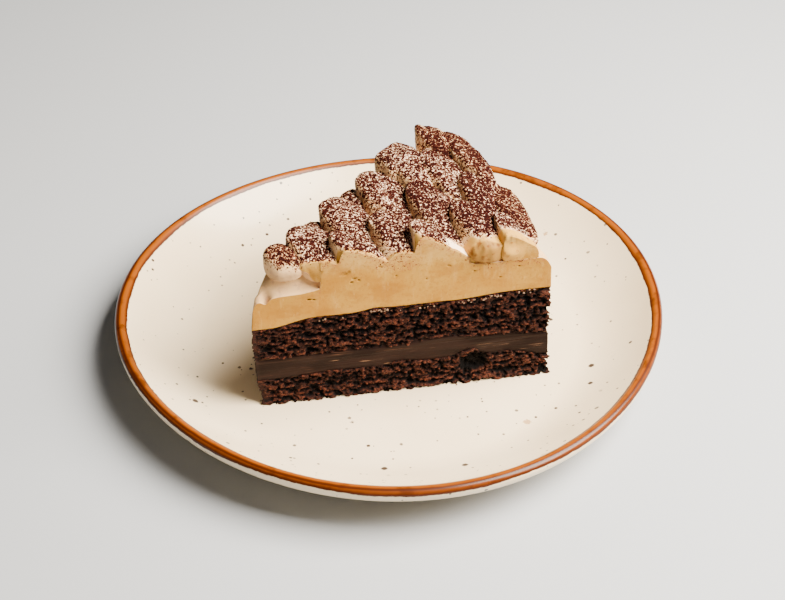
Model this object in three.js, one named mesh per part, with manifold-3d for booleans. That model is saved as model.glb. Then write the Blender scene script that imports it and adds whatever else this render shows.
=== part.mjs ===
// A wedge of layered coffee and chocolate cake on a round plate with a painted rim.
// Millimetres, +Z up. The origin is the middle of the plate's outline, on the table.
// The wedge stands on the plate's well with its tip at the left, its front cut face towards -Y.

import * as THREE from 'three';
import { mergeVertices } from 'three/addons/utils/BufferGeometryUtils.js';
import Module from 'manifold-3d';

const wasm = await Module();
wasm.setup();

// Plate
const PLATE_RADIUS = 105.6;
const PLATE_HEIGHT = 21.4;
const WELL_HEIGHT = 6;
const WELL_RADIUS = 73;
const PLATE_WALL = 4;
const LIP_RADIUS = 2.2;
const FOOT_OUTER = 62;
const FOOT_INNER = 55.5;
const FOOT_RECESS = 1.8;
const PLATE_SEGMENTS = 64;

// The axis of the hand-made plate, and how its rim is out of round: waves round it, cosine and sine share
const PLATE_X = 1.16;
const PLATE_Y = 0.98;
const RIM_WAVES = [
  [2, 0.0101, 0.0098],
  [3, -0.0111, 0.0098],
];

// Wedge: the tip's place on the plate and the heading of its front cut face
const TIP_X = -46.74;
const TIP_Y = -43.62;
const HEADING = THREE.MathUtils.degToRad(9.87);
const WEDGE_LENGTH = 109;
const WEDGE_ANGLE = THREE.MathUtils.degToRad(45);
const WEDGE_LEAN = 0.036;
const EDGE_STEP = 4.1;

// Layer heights over the well at the tip and at the round end
const BASE_TOP = [11.7, 12.9];
const FILLING_TOP = [21.1, 21.9];
const SPONGE_TOP = [37, 41.6];
const MOUSSE_TOP = 55;
const LAYER_GAP = 0.3;
const SHOULDER = 5.5;
const SCOOP_DEPTH = 6.2;
const SCOOP_LENGTH = 24;
const TIP_DROP = 4.6;

// Piped dollops: along is measured from the tip on the front cut face, across from that face
const DOLLOP_SIDES = 12;
const DOLLOP_GAP = 0.3;
const FULLNESS = 2.8;
const OVERHANG = 0.1;
const CUT_TOLERANCE = 0.06;
// Each row: place along, place across, length, width, height, turn, slant, rise, pitch
const DOLLOPS = [
  ['dollop_01', 10.7, 3.8, 14, 12.6, 10.8, 0, 0.1, 1, 0],
  ['dollop_02', 24.1, 6.3, 27, 20, 13.5, -4, 0.2, 4, 1],
  ['dollop_03', 25.9, 19.0, 16, 13, 9, 0, 0.1, 1, 0],
  ['dollop_04', 41.4, 2.3, 20, 21, 12, -4, 0.2, 4, 1],
  ['dollop_05', 36.9, 20.3, 27, 20, 14.8, -4, 0.2, 4, 1],
  ['dollop_06', 43.2, 35.3, 17, 13.5, 9.6, 0, 0.1, 1, 0],
  ['dollop_07', 53.3, 9.3, 28, 19, 14, -6, 0.25, 5, 2],
  ['dollop_08', 52.7, 33.7, 28, 19.5, 15.8, -4, 0.2, 4, 1],
  ['dollop_09', 60.9, 49.3, 28, 17, 16.5, -4, 0.15, 3, 1],
  ['dollop_10', 68.8, 0.9, 24, 20, 12.2, -6, 0.25, 5, 3],
  ['dollop_11', 69.0, 21.5, 30, 20, 15, -6, 0.25, 5, 2],
  ['dollop_12', 76.0, 43.1, 30, 17.5, 15.8, -6, 0.28, 4, 1],
  ['dollop_13', 84.1, 10.2, 28, 19, 13.5, -4, 0.3, 4, 2],
  ['dollop_14', 79.6, 61.3, 26, 20, 18.2, 4, 0.2, 4, 0],
  ['dollop_15', 86.5, 28.0, 28, 13.5, 14.5, -6, 0.35, 4, 2],
  ['dollop_16', 88.8, 48.1, 24, 14, 16.2, 0, 0.4, 4, 1],
  ['dollop_17', 97.9, 23.7, 30, 15.5, 12.5, 0, 0.5, 3, 0],
  ['dollop_18', 94.2, 4.5, 24, 15.5, 12.5, 0, 0.4, 3, 1],
].map(([name, along, across, length, width, height, turn, slant, rise, pitch]) => ({
  name, along, across, length, width, height, turn, slant, rise, pitch,
}));

// Colours and finishes
const GLAZE = { color: 0xe9e4da, roughness: 0.3, metalness: 0 };
const SPONGE = { color: 0x2c1712, roughness: 0.95, metalness: 0 };
const FILLING = { color: 0x3a2520, roughness: 0.7, metalness: 0 };
const MOUSSE = { color: 0xcfa570, roughness: 0.6, metalness: 0 };
const DUSTED = { color: 0xa5775c, roughness: 0.85, metalness: 0 };

function smoothstep(low, high, value) {
  const t = Math.min(Math.max((value - low) / (high - low), 0), 1);
  return t * t * (3 - 2 * t);
}

// A repeatable number from 0 to 1 for each pair of whole numbers
function scatter(i, j) {
  const wave = Math.sin(i * 127.1 + j * 311.7) * 43758.5453;
  return wave - Math.floor(wave);
}

function makeMesh(name, geometry, finish) {
  const mesh = new THREE.Mesh(geometry, new THREE.MeshStandardMaterial(finish));
  mesh.name = name;
  return mesh;
}

function bufferFrom(positions, indices) {
  const geometry = new THREE.BufferGeometry();
  geometry.setAttribute('position', new THREE.Float32BufferAttribute(positions, 3));
  geometry.setIndex(indices);
  return geometry;
}

function toSolid(geometry) {
  const bare = geometry.clone();
  bare.deleteAttribute('normal');
  bare.deleteAttribute('uv');
  const merged = mergeVertices(bare, 1e-4);
  const vertProperties = new Float32Array(merged.attributes.position.array);
  const triVerts = new Uint32Array(merged.index.array);
  return new wasm.Manifold(new wasm.Mesh({ numProp: 3, vertProperties, triVerts }));
}

// The largest closed body of a cut solid, without the scraps and slivers that the cut leaves
function fromSolid(solid) {
  const bodies = solid.decompose().sort((a, b) => b.volume() - a.volume());
  const mesh = bodies[0].simplify(CUT_TOLERANCE).getMesh();
  const geometry = bufferFrom(Array.from(mesh.vertProperties), Array.from(mesh.triVerts));
  geometry.computeVertexNormals();
  return geometry;
}

// How far out of round the plate is at a point: nothing at the foot, the whole at the rim
function rimFactor(x, y) {
  const angle = Math.atan2(y, x);
  const reach = (Math.hypot(x, y) - FOOT_OUTER) / (PLATE_RADIUS - FOOT_OUTER);
  const share = Math.min(Math.max(reach, 0), 1);
  const wave = RIM_WAVES.reduce(
    (sum, [count, cos, sin]) => sum + cos * Math.cos(count * angle) + sin * Math.sin(count * angle), 0);
  return 1 + wave * share;
}

// The plate: a flat well, a wall that rises in one long curve, a rounded lip and a foot ring
function plateGeometry() {
  const points = [];
  const lipCentre = PLATE_RADIUS - LIP_RADIUS;
  const wallEnd = lipCentre - LIP_RADIUS;
  const lipHeight = PLATE_HEIGHT - LIP_RADIUS;
  const wallSteps = 5;
  const under = (r) => {
    const t = Math.max(r - WELL_RADIUS, 0) / (wallEnd - WELL_RADIUS);
    return WELL_HEIGHT + (lipHeight - WELL_HEIGHT) * Math.pow(t, 1.7);
  };
  points.push(new THREE.Vector2(0, FOOT_RECESS));
  points.push(new THREE.Vector2(FOOT_INNER, FOOT_RECESS));
  points.push(new THREE.Vector2(FOOT_INNER + 1, 0));
  points.push(new THREE.Vector2(FOOT_OUTER - 1, 0));
  points.push(new THREE.Vector2(FOOT_OUTER, 1.2));
  for (let i = 0; i <= wallSteps; i += 1) {
    const t = i / wallSteps;
    const r = FOOT_OUTER + 3 + (PLATE_RADIUS - 0.6 - FOOT_OUTER - 3) * t;
    const z = Math.max(under(r - 2.2) - PLATE_WALL, FOOT_RECESS + 0.2);
    points.push(new THREE.Vector2(r, Math.min(z, lipHeight - 1.5)));
  }
  for (let i = 0; i <= 5; i += 1) {
    const angle = THREE.MathUtils.lerp(-0.1, Math.PI * 0.95, i / 5);
    const r = lipCentre + LIP_RADIUS * Math.cos(angle);
    points.push(new THREE.Vector2(r, lipHeight + LIP_RADIUS * Math.sin(angle)));
  }
  for (let i = wallSteps - 1; i >= 0; i -= 1) {
    const r = THREE.MathUtils.lerp(WELL_RADIUS, wallEnd, i / wallSteps);
    points.push(new THREE.Vector2(r, under(r)));
  }
  points.push(new THREE.Vector2(0, WELL_HEIGHT));
  const geometry = new THREE.LatheGeometry(points, PLATE_SEGMENTS);
  geometry.rotateX(Math.PI / 2);
  const place = geometry.attributes.position;
  for (let i = 0; i < place.count; i += 1) {
    const factor = rimFactor(place.getX(i), place.getY(i));
    place.setXY(i, place.getX(i) * factor, place.getY(i) * factor);
  }
  geometry.translate(PLATE_X, PLATE_Y, 0);
  geometry.computeVertexNormals();
  return geometry;
}

// The wedge's outline in plan, anticlockwise from the tip, each point with its outward direction
function wedgeOutline() {
  const outline = [];
  const frontCount = Math.round(WEDGE_LENGTH / EDGE_STEP);
  const arcCount = Math.round((WEDGE_LENGTH * WEDGE_ANGLE) / EDGE_STEP);
  const backX = Math.cos(WEDGE_ANGLE);
  const backY = Math.sin(WEDGE_ANGLE);
  const tipAngle = WEDGE_ANGLE / 2 + Math.PI;
  outline.push({ x: 0, y: 0, nx: Math.cos(tipAngle), ny: Math.sin(tipAngle), round: 0 });
  for (let i = 1; i < frontCount; i += 1) {
    outline.push({ x: (WEDGE_LENGTH * i) / frontCount, y: 0, nx: 0, ny: -1, round: 0 });
  }
  for (let i = 0; i <= arcCount; i += 1) {
    const angle = (WEDGE_ANGLE * i) / arcCount;
    const inset = i === 0 || i === arcCount ? 0.8 : 0;
    const x = (WEDGE_LENGTH - inset) * Math.cos(angle);
    const y = (WEDGE_LENGTH - inset) * Math.sin(angle);
    outline.push({ x, y, nx: Math.cos(angle), ny: Math.sin(angle), round: 1 });
  }
  for (let i = frontCount - 1; i > 0; i -= 1) {
    const r = (WEDGE_LENGTH * i) / frontCount;
    outline.push({ x: r * backX, y: r * backY, nx: -backY, ny: backX, round: 0 });
  }
  return outline;
}

// A closed skin over rings of equal count, the first ring capped below and the last one above.
// The first row is split along the other diagonal, so that it mirrors the last row of a piece below.
function ringSkin(rings) {
  const count = rings[0].length;
  const positions = [];
  const indices = [];
  rings.forEach((ring) => ring.forEach((p) => positions.push(p.x, p.y, p.z)));
  for (let row = 0; row < rings.length - 1; row += 1) {
    for (let i = 0; i < count; i += 1) {
      const a = row * count + i;
      const b = row * count + ((i + 1) % count);
      if (row === 0) {
        indices.push(a, b, a + count, b, b + count, a + count);
      } else {
        indices.push(a, b, b + count, a, b + count, a + count);
      }
    }
  }
  const cap = (ring, start, upward) => {
    const flat = ring.map((p) => new THREE.Vector2(p.x, p.y));
    THREE.ShapeUtils.triangulateShape(flat, []).forEach(([a, b, c]) => {
      if (upward) {
        indices.push(start + a, start + b, start + c);
      } else {
        indices.push(start + a, start + c, start + b);
      }
    });
  };
  cap(rings[0], 0, false);
  cap(rings[rings.length - 1], (rings.length - 1) * count, true);
  return bufferFrom(positions, indices);
}

// The whole wedge leans slightly towards its tip
function leaning(geometry) {
  return geometry.applyMatrix4(new THREE.Matrix4().makeShear(0, 0, 0, 0, -WEDGE_LEAN, 0));
}

function layerHeight(ends, x) {
  return THREE.MathUtils.lerp(ends[0], ends[1], Math.min(Math.max(x / WEDGE_LENGTH, 0), 1));
}

// The ragged line where two layers meet at a cut face
function seamWave(i, seed, depth) {
  return (scatter(i, seed) - 0.5) * 2 * depth;
}

// One layer of the cake, torn or smooth at its sides, running through the whole wedge
function layerGeometry({ bottom, top, rows, seed, crag, lowWave, highWave }) {
  const outline = wedgeOutline();
  const inner = outline.map((p) => insetPoint(p, 3.5));
  const low = (p, i, wave) => layerHeight(bottom, p.x) + LAYER_GAP / 2 + seamWave(i, seed, wave);
  const high = (p, i, wave) => layerHeight(top, p.x) - LAYER_GAP / 2 + seamWave(i, seed + 1, wave);
  const rings = [];
  rings.push(inner.map((p, i) => ({ x: p.x, y: p.y, z: low(p, i, 0) })));
  for (let row = 0; row <= rows; row += 1) {
    const t = row / rows;
    rings.push(outline.map((p, i) => {
      const edge = row === 0 || row === rows;
      const push = edge ? -0.1 : (scatter(i * 3 + row, seed + 2) - 0.55) * crag;
      const z = THREE.MathUtils.lerp(low(p, i, lowWave), high(p, i, highWave), t);
      return { x: p.x + p.nx * push, y: p.y + p.ny * push, z };
    }));
  }
  rings.push(inner.map((p, i) => ({ x: p.x, y: p.y, z: high(p, i, 0) })));
  return leaning(ringSkin(rings));
}

// A point moved towards the middle of the wedge, so that a ring of them keeps its order
function insetPoint(p, depth) {
  const middle = { x: WEDGE_LENGTH * 0.62, y: WEDGE_LENGTH * 0.62 * Math.tan(WEDGE_ANGLE / 2) };
  const reach = Math.hypot(middle.x - p.x, middle.y - p.y);
  const share = Math.min(depth / (reach * 0.42), 0.4);
  return {
    x: THREE.MathUtils.lerp(p.x, middle.x, share),
    y: THREE.MathUtils.lerp(p.y, middle.y, share),
  };
}

// The mousse: smooth cut faces, a rounded shoulder at the round end, a scooped edge at the tip
function mousseGeometry() {
  const outline = wedgeOutline();
  const scoop = (p) => {
    const front = p.ny < -0.5 || p.x < 1 ? 1 : 0.3;
    return SCOOP_DEPTH * front * (1 - smoothstep(SCOOP_LENGTH * 0.5, SCOOP_LENGTH, Math.hypot(p.x, p.y)));
  };
  const bottom = (p, i) => layerHeight(SPONGE_TOP, p.x) + LAYER_GAP / 2 + seamWave(i, 6, 0.5);
  const rings = [];
  rings.push(outline.map((p) => {
    const q = insetPoint(p, 3.5);
    return { x: q.x, y: q.y, z: layerHeight(SPONGE_TOP, q.x) + LAYER_GAP / 2 };
  }));
  [0, 0.5].forEach((t) => {
    rings.push(outline.map((p, i) => {
      const push = t === 0 ? -0.1 : (scatter(i, 41) - 0.5) * 0.3;
      const z = THREE.MathUtils.lerp(bottom(p, i), MOUSSE_TOP - SHOULDER - 1, t);
      return { x: p.x + p.nx * push, y: p.y + p.ny * push, z };
    }));
  });
  [0, 0.4, 0.75, 1].forEach((t) => {
    const angle = (t * Math.PI) / 2;
    rings.push(outline.map((p, i) => {
      const back = p.round * SHOULDER * 0.8 * (1 - Math.cos(angle)) + (1 - p.round) * 0.25 * t;
      const rim = MOUSSE_TOP - Math.max(scoop(p), (TIP_DROP + 2.4) * (1 - smoothstep(0, 8, p.x)));
      const z = Math.min(MOUSSE_TOP - SHOULDER + SHOULDER * Math.sin(angle), rim - (1 - t) * 0.8);
      const push = -back + (t < 1 ? (scatter(i, 43) - 0.5) * 0.3 : 0);
      return { x: p.x + p.nx * push, y: p.y + p.ny * push, z };
    }));
  });
  rings.push(outline.map((p) => {
    const q = insetPoint(p, 3 + p.round * 4);
    const drop = TIP_DROP * (1 - smoothstep(3, 13, Math.hypot(q.x, q.y)));
    return { x: q.x, y: q.y, z: MOUSSE_TOP - drop };
  }));
  return leaning(ringSkin(rings));
}

// A piped dollop: a leaf-shaped mound with an overhanging rim that leans up towards its left side
function dollopGeometry(shape, seed, grow) {
  const profile = [
    [0.86, 0],
    [1.0, 0.28],
    [0.96, 0.58],
    [0.82, 0.84],
    [0.46, 1.0],
  ];
  const turn = THREE.MathUtils.degToRad(shape.turn);
  const rings = profile.map(([reach, level]) => {
    const ring = [];
    for (let i = 0; i < DOLLOP_SIDES; i += 1) {
      const angle = (2 * Math.PI * i) / DOLLOP_SIDES;
      const uneven = 1 + 0.04 * Math.sin(2 * angle + seed) + 0.03 * Math.sin(3 * angle + 2 * seed);
      const full = Math.pow(Math.abs(Math.cos(angle)) ** FULLNESS + Math.abs(Math.sin(angle)) ** FULLNESS,
        -1 / FULLNESS);
      const taper = 1 - 0.1 * Math.sin(angle);
      const span = reach * uneven * full;
      const side = (shape.width / 2) * span * taper * Math.cos(angle) + grow * Math.cos(angle);
      const straight = (shape.length / 2) * span * Math.sin(angle) + grow * Math.sin(angle);
      const depth = straight - shape.slant * side;
      const fall = shape.rise * (0.5 + side / shape.width) - shape.pitch * (depth / shape.length);
      const lift = 1 - fall / shape.height;
      const height = (shape.height + grow) * level * lift;
      const lean = -OVERHANG * shape.width * level * level;
      const x = side + lean;
      const foot = grow > 0 && level === 0 ? -2 : 0;
      ring.push({
        x: shape.along + x * Math.cos(turn) - depth * Math.sin(turn),
        y: shape.across + x * Math.sin(turn) + depth * Math.cos(turn),
        z: MOUSSE_TOP + LAYER_GAP + height + foot,
      });
    }
    return ring;
  });
  return ringSkin(rings);
}

// The space over the wedge in which the dollops lie: cut by both cut faces, open at the round end
function wedgePrism(frontOverhang) {
  const reach = WEDGE_LENGTH * 1.3;
  const shape = new THREE.Shape();
  const slope = Math.tan(WEDGE_ANGLE);
  shape.moveTo(-frontOverhang / slope - 0.5, -frontOverhang);
  shape.lineTo(reach, -frontOverhang);
  shape.lineTo(reach, reach * slope);
  shape.closePath();
  const prism = new THREE.ExtrudeGeometry(shape, { depth: 60, bevelEnabled: false });
  prism.translate(0, 0, MOUSSE_TOP - 15);
  return toSolid(leaning(prism));
}

const slice = new THREE.Group();
slice.position.set(TIP_X, TIP_Y, WELL_HEIGHT);
slice.rotation.z = HEADING;

slice.add(makeMesh('sponge_bottom', layerGeometry({
  bottom: [0, 0], top: BASE_TOP, rows: 4, seed: 3, crag: 1.1, lowWave: 0, highWave: 0.5,
}), SPONGE));
slice.add(makeMesh('chocolate_filling', layerGeometry({
  bottom: BASE_TOP, top: FILLING_TOP, rows: 2, seed: 4, crag: 0.4, lowWave: 0.5, highWave: 0.5,
}), FILLING));
slice.add(makeMesh('sponge_top', layerGeometry({
  bottom: FILLING_TOP, top: SPONGE_TOP, rows: 5, seed: 5, crag: 1.1, lowWave: 0.5, highWave: 0.5,
}), SPONGE));

const mousse = mousseGeometry();
slice.add(makeMesh('coffee_mousse', mousse, MOUSSE));

const prism = wedgePrism(0);
const proudPrism = wedgePrism(2);
DOLLOPS.forEach((shape, index) => {
  const proud = shape.name === 'dollop_13' || shape.name === 'dollop_18' || shape.name === 'dollop_01';
  const neighbours = [];
  DOLLOPS.forEach((later, place) => {
    const near = Math.hypot(later.along - shape.along, later.across - shape.across);
    if (place > index && near < (later.length + shape.length) / 2 + 3) {
      neighbours.push(toSolid(dollopGeometry(later, place, DOLLOP_GAP)));
    }
  });
  let solid = toSolid(dollopGeometry(shape, index, 0)).intersect(proud ? proudPrism : prism);
  if (neighbours.length > 0) {
    solid = solid.subtract(neighbours.reduce((joined, next) => joined.add(next)));
  }
  slice.add(makeMesh(shape.name, fromSolid(solid), DUSTED));
});

const model = new THREE.Group();
model.add(makeMesh('plate', plateGeometry(), GLAZE));
model.add(slice);

export default model;
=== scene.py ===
"""A slice of layered coffee and chocolate cake on its plate.

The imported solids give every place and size. The pieces made here stand for them with a fine surface:
torn sponge, knife-streaked filling, smooth mousse, piped dollops and a dusting of cocoa.
Sizes are millimetres in the slice's own frame until a piece is settled: along runs from the tip on
the front cut face, across runs away from that face, and height starts at the plate's well.
"""

import logging
import math
from dataclasses import dataclass, field
from enum import Enum
from typing import Callable, Sequence

import bmesh
import bpy
import numpy as np
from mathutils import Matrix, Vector, noise
from mathutils.bvhtree import BVHTree


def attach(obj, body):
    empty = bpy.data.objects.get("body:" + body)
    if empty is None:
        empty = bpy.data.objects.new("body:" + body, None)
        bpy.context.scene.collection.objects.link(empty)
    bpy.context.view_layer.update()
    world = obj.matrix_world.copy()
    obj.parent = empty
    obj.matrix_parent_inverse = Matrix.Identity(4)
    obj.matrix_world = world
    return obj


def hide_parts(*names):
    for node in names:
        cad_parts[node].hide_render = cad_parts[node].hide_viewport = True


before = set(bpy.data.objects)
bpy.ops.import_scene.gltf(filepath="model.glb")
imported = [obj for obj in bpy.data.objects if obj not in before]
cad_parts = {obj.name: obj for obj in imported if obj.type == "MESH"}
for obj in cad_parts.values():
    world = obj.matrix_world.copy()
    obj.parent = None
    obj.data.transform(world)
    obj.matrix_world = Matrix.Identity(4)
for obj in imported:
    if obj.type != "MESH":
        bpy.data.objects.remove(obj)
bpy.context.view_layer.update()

MM = 0.001
SEED = 20
UP = Vector((0.0, 0.0, 1.0))
Array = np.ndarray
Piece = bpy.types.Object
Material = bpy.types.Material
Socket = bpy.types.NodeSocket
Pairs = Sequence[tuple[float, float]]
Colour = tuple[float, float, float, float]
log = logging.getLogger("slice")


class Side(Enum):
    """Which part of the wedge's outline a point is on."""

    FRONT = 0
    ROUND = 1
    BACK = 2
    INSIDE = 3


@dataclass(frozen=True)
class WedgeFrame:
    """Where the wedge stands on the plate, its size, and how far its tip swells at half height."""

    tip_x: float = -46.74
    tip_y: float = -43.62
    heading: float = math.radians(9.87)
    lean: float = 0.036
    floor: float = 6.0
    length: float = 109.0
    angle: float = math.radians(45.0)
    tip_swell: float = 1.7
    tip_reach: float = 16.0

    def settle(self, points: Array, leaning: bool = True) -> Array:
        """Turns points of the slice's own frame into the object's frame.

        Args:
            points: Rows of along, across and height, in millimetres.
            leaning: Whether the points lean with the wedge.

        Returns:
            Rows of x, y and z, in metres.
        """
        along, across, height = points.T
        if leaning:
            swell = smoothstep(0.0, 13.0, height) * smoothstep(47.0, 28.0, height)
            swell = swell * smoothstep(self.tip_reach, 0.0, along)
            along = along - self.lean * height - self.tip_swell * swell
        cos, sin = math.cos(self.heading), math.sin(self.heading)
        x = self.tip_x + along * cos - across * sin
        y = self.tip_y + along * sin + across * cos
        return np.stack([x, y, height + self.floor], axis=1) * MM

    def own_ways(self, ways: Array) -> Array:
        """Directions of the object's frame as along and across."""
        cos, sin = math.cos(self.heading), math.sin(self.heading)
        return np.stack([ways[:, 0] * cos + ways[:, 1] * sin, ways[:, 1] * cos - ways[:, 0] * sin], axis=1)

    def own_points(self, points: Array) -> Array:
        """Points of the object's frame as along, across and height, in millimetres, without the lean."""
        shifted = points / MM - np.array([self.tip_x, self.tip_y, self.floor])
        return np.column_stack([self.own_ways(shifted), shifted[:, 2]])

    def back_normal(self) -> tuple[float, float]:
        """The direction in plan that the back cut face looks to."""
        return -math.sin(self.angle), math.cos(self.angle)


WEDGE = WedgeFrame()


def deselect_all() -> None:
    """Leaves object mode with nothing selected."""
    if bpy.context.mode != "OBJECT":
        bpy.ops.object.mode_set(mode="OBJECT")
    bpy.ops.object.select_all(action="DESELECT")


def make_active(piece: Piece) -> None:
    """Selects one piece alone."""
    deselect_all()
    piece.select_set(True)
    bpy.context.view_layer.objects.active = piece


def crease(piece: Piece, degrees: float) -> None:
    """Shades a piece smooth but for edges that turn more than an angle."""
    make_active(piece)
    bpy.ops.object.shade_smooth_by_angle(angle=math.radians(degrees))


def smoothstep(low: float, high: float, value: Array) -> Array:
    """A soft step from 0 at low to 1 at high."""
    t = np.clip((value - low) / (high - low), 0.0, 1.0)
    return t * t * (3.0 - 2.0 * t)


def hump(value: Array, centre: float, width: float) -> Array:
    """A smooth hump of height 1 round a centre."""
    return np.exp(-(((value - centre) / width) ** 2))


def along_knots(value: Array, knots: Pairs) -> Array:
    """A line of straight stretches through its knots."""
    return np.interp(value, *np.array(knots).T)


def smooth_curve(value: Array, knots: Pairs) -> Array:
    """A smooth curve through its knots.

    Args:
        value: Where the curve is read.
        knots: Pairs of place and height, in rising order of place.

    Returns:
        The curve's heights.
    """
    places, heights = np.array(knots).T
    slopes = np.gradient(heights, places)
    index = np.clip(np.searchsorted(places, value) - 1, 0, len(places) - 2)
    width = places[index + 1] - places[index]
    t = np.clip((value - places[index]) / width, 0.0, 1.0)
    start = (2.0 * t - 3.0) * t * t + 1.0
    leave = ((t - 2.0) * t + 1.0) * t * width
    arrive = (t - 1.0) * t * t * width
    level = start * heights[index] + (1.0 - start) * heights[index + 1]
    return level + leave * slopes[index] + arrive * slopes[index + 1]


def read_rows(piece: Piece, kind: str) -> Array:
    """The co or the normal of each of the piece's vertices, as rows."""
    rows = np.empty(len(piece.data.vertices) * 3)
    piece.data.vertices.foreach_get(kind, rows)
    return rows.reshape(-1, 3)


def write_points(piece: Piece, points: Array) -> None:
    """Moves the piece's points."""
    piece.data.vertices.foreach_set("co", points.astype(np.float32).ravel())
    piece.data.update()


def in_order(points: Array) -> Array:
    """Row numbers that sort points by place, whatever order the mesh keeps them in."""
    return np.lexsort(np.round(points, 6).T)


def keep_value(piece: Piece, name: str, values: Array) -> None:
    """Stores one number for each point, for the piece's material to read."""
    mesh = piece.data
    layer = mesh.attributes.get(name) or mesh.attributes.new(name, "FLOAT", "POINT")
    layer.data.foreach_set("value", values.astype(np.float32))


def read_value(piece: Piece, name: str) -> Array:
    """The numbers that were stored for the piece's points."""
    values = np.empty(len(piece.data.vertices), np.float32)
    piece.data.attributes[name].data.foreach_get("value", values)
    return values


def grain_noise(points: Array, size: Sequence[float], shift: float = 0.0) -> Array:
    """Smooth noise from -1 to 1 at each point.

    Args:
        points: Rows of three coordinates.
        size: The width of the noise's cells along each axis, in the points' unit.
        shift: A number that moves the pattern.

    Returns:
        One number for each point.
    """
    scaled = points / np.asarray(size) + shift
    return np.array([noise.noise(Vector(row)) for row in scaled])


def cell_noise(points: Array, size: Sequence[float], shift: float = 0.0) -> Array:
    """The distance to the nearest point of a scattered set, about 0 to 1, for crumb shapes."""
    scaled = points / np.asarray(size) + shift
    return np.array([noise.voronoi(Vector(row))[0][0] for row in scaled])


def select_where(piece: Piece, kind: str, test: Callable[[object], bool]) -> None:
    """Selects elements of the piece in edit mode by a test.

    Args:
        piece: The object that is in edit mode.
        kind: edges or faces.
        test: Says whether an element is selected.
    """
    bpy.context.tool_settings.mesh_select_mode = (False, kind == "edges", kind == "faces")
    bpy.ops.mesh.select_all(action="DESELECT")
    work = bmesh.from_edit_mesh(piece.data)
    for element in getattr(work, kind):
        element.select = test(element)
    work.select_flush_mode()
    bmesh.update_edit_mesh(piece.data)


def cut_off(start: Sequence[float], normal: Sequence[float], fill: bool) -> None:
    """Cuts the mesh in edit mode at a plane and drops what lies on the side its normal points to."""
    bpy.ops.mesh.select_all(action="SELECT")
    bpy.ops.mesh.bisect(plane_co=start, plane_no=normal, clear_outer=True, use_fill=fill, threshold=0.0001)


def face_outwards() -> None:
    """Turns every face of the mesh in edit mode outwards and leaves edit mode."""
    bpy.ops.mesh.select_all(action="SELECT")
    bpy.ops.mesh.normals_make_consistent(inside=False)
    bpy.ops.object.mode_set(mode="OBJECT")


def repeat_mesh(name: str, corners: Array, pattern: Array) -> Piece:
    """Joins many small lumps with the same faces in one object.

    Args:
        name: The object's name.
        corners: Three coordinates for each corner of each lump, by lump and corner.
        pattern: The faces of one lump, as rows of three corner numbers.

    Returns:
        The object.
    """
    first_corners = np.arange(corners.shape[0]) * corners.shape[1]
    faces = (pattern[None] + first_corners[:, None, None]).reshape(-1, 3)
    mesh = bpy.data.meshes.new(name)
    mesh.from_pydata(corners.reshape(-1, 3).tolist(), [], faces.tolist())
    piece = bpy.data.objects.new(name, mesh)
    bpy.context.collection.objects.link(piece)
    return piece


def finish_piece(piece: Piece, name: str, material: Material,
                 nodes: Sequence[str] = ()) -> None:
    """Names, dresses and hands a piece to the frame.

    Args:
        piece: The finished object.
        name: Its name.
        material: Its finish.
        nodes: The solids that it stands for.
    """
    deselect_all()
    piece.name = name
    piece.data.name = name
    piece.data.materials.clear()
    piece.data.materials.append(material)
    piece.data.polygons.foreach_set("use_smooth", [True] * len(piece.data.polygons))
    if nodes:
        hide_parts(*nodes)
    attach(piece, "root")
    log.info("%s: %d faces", name, len(piece.data.polygons))


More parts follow.
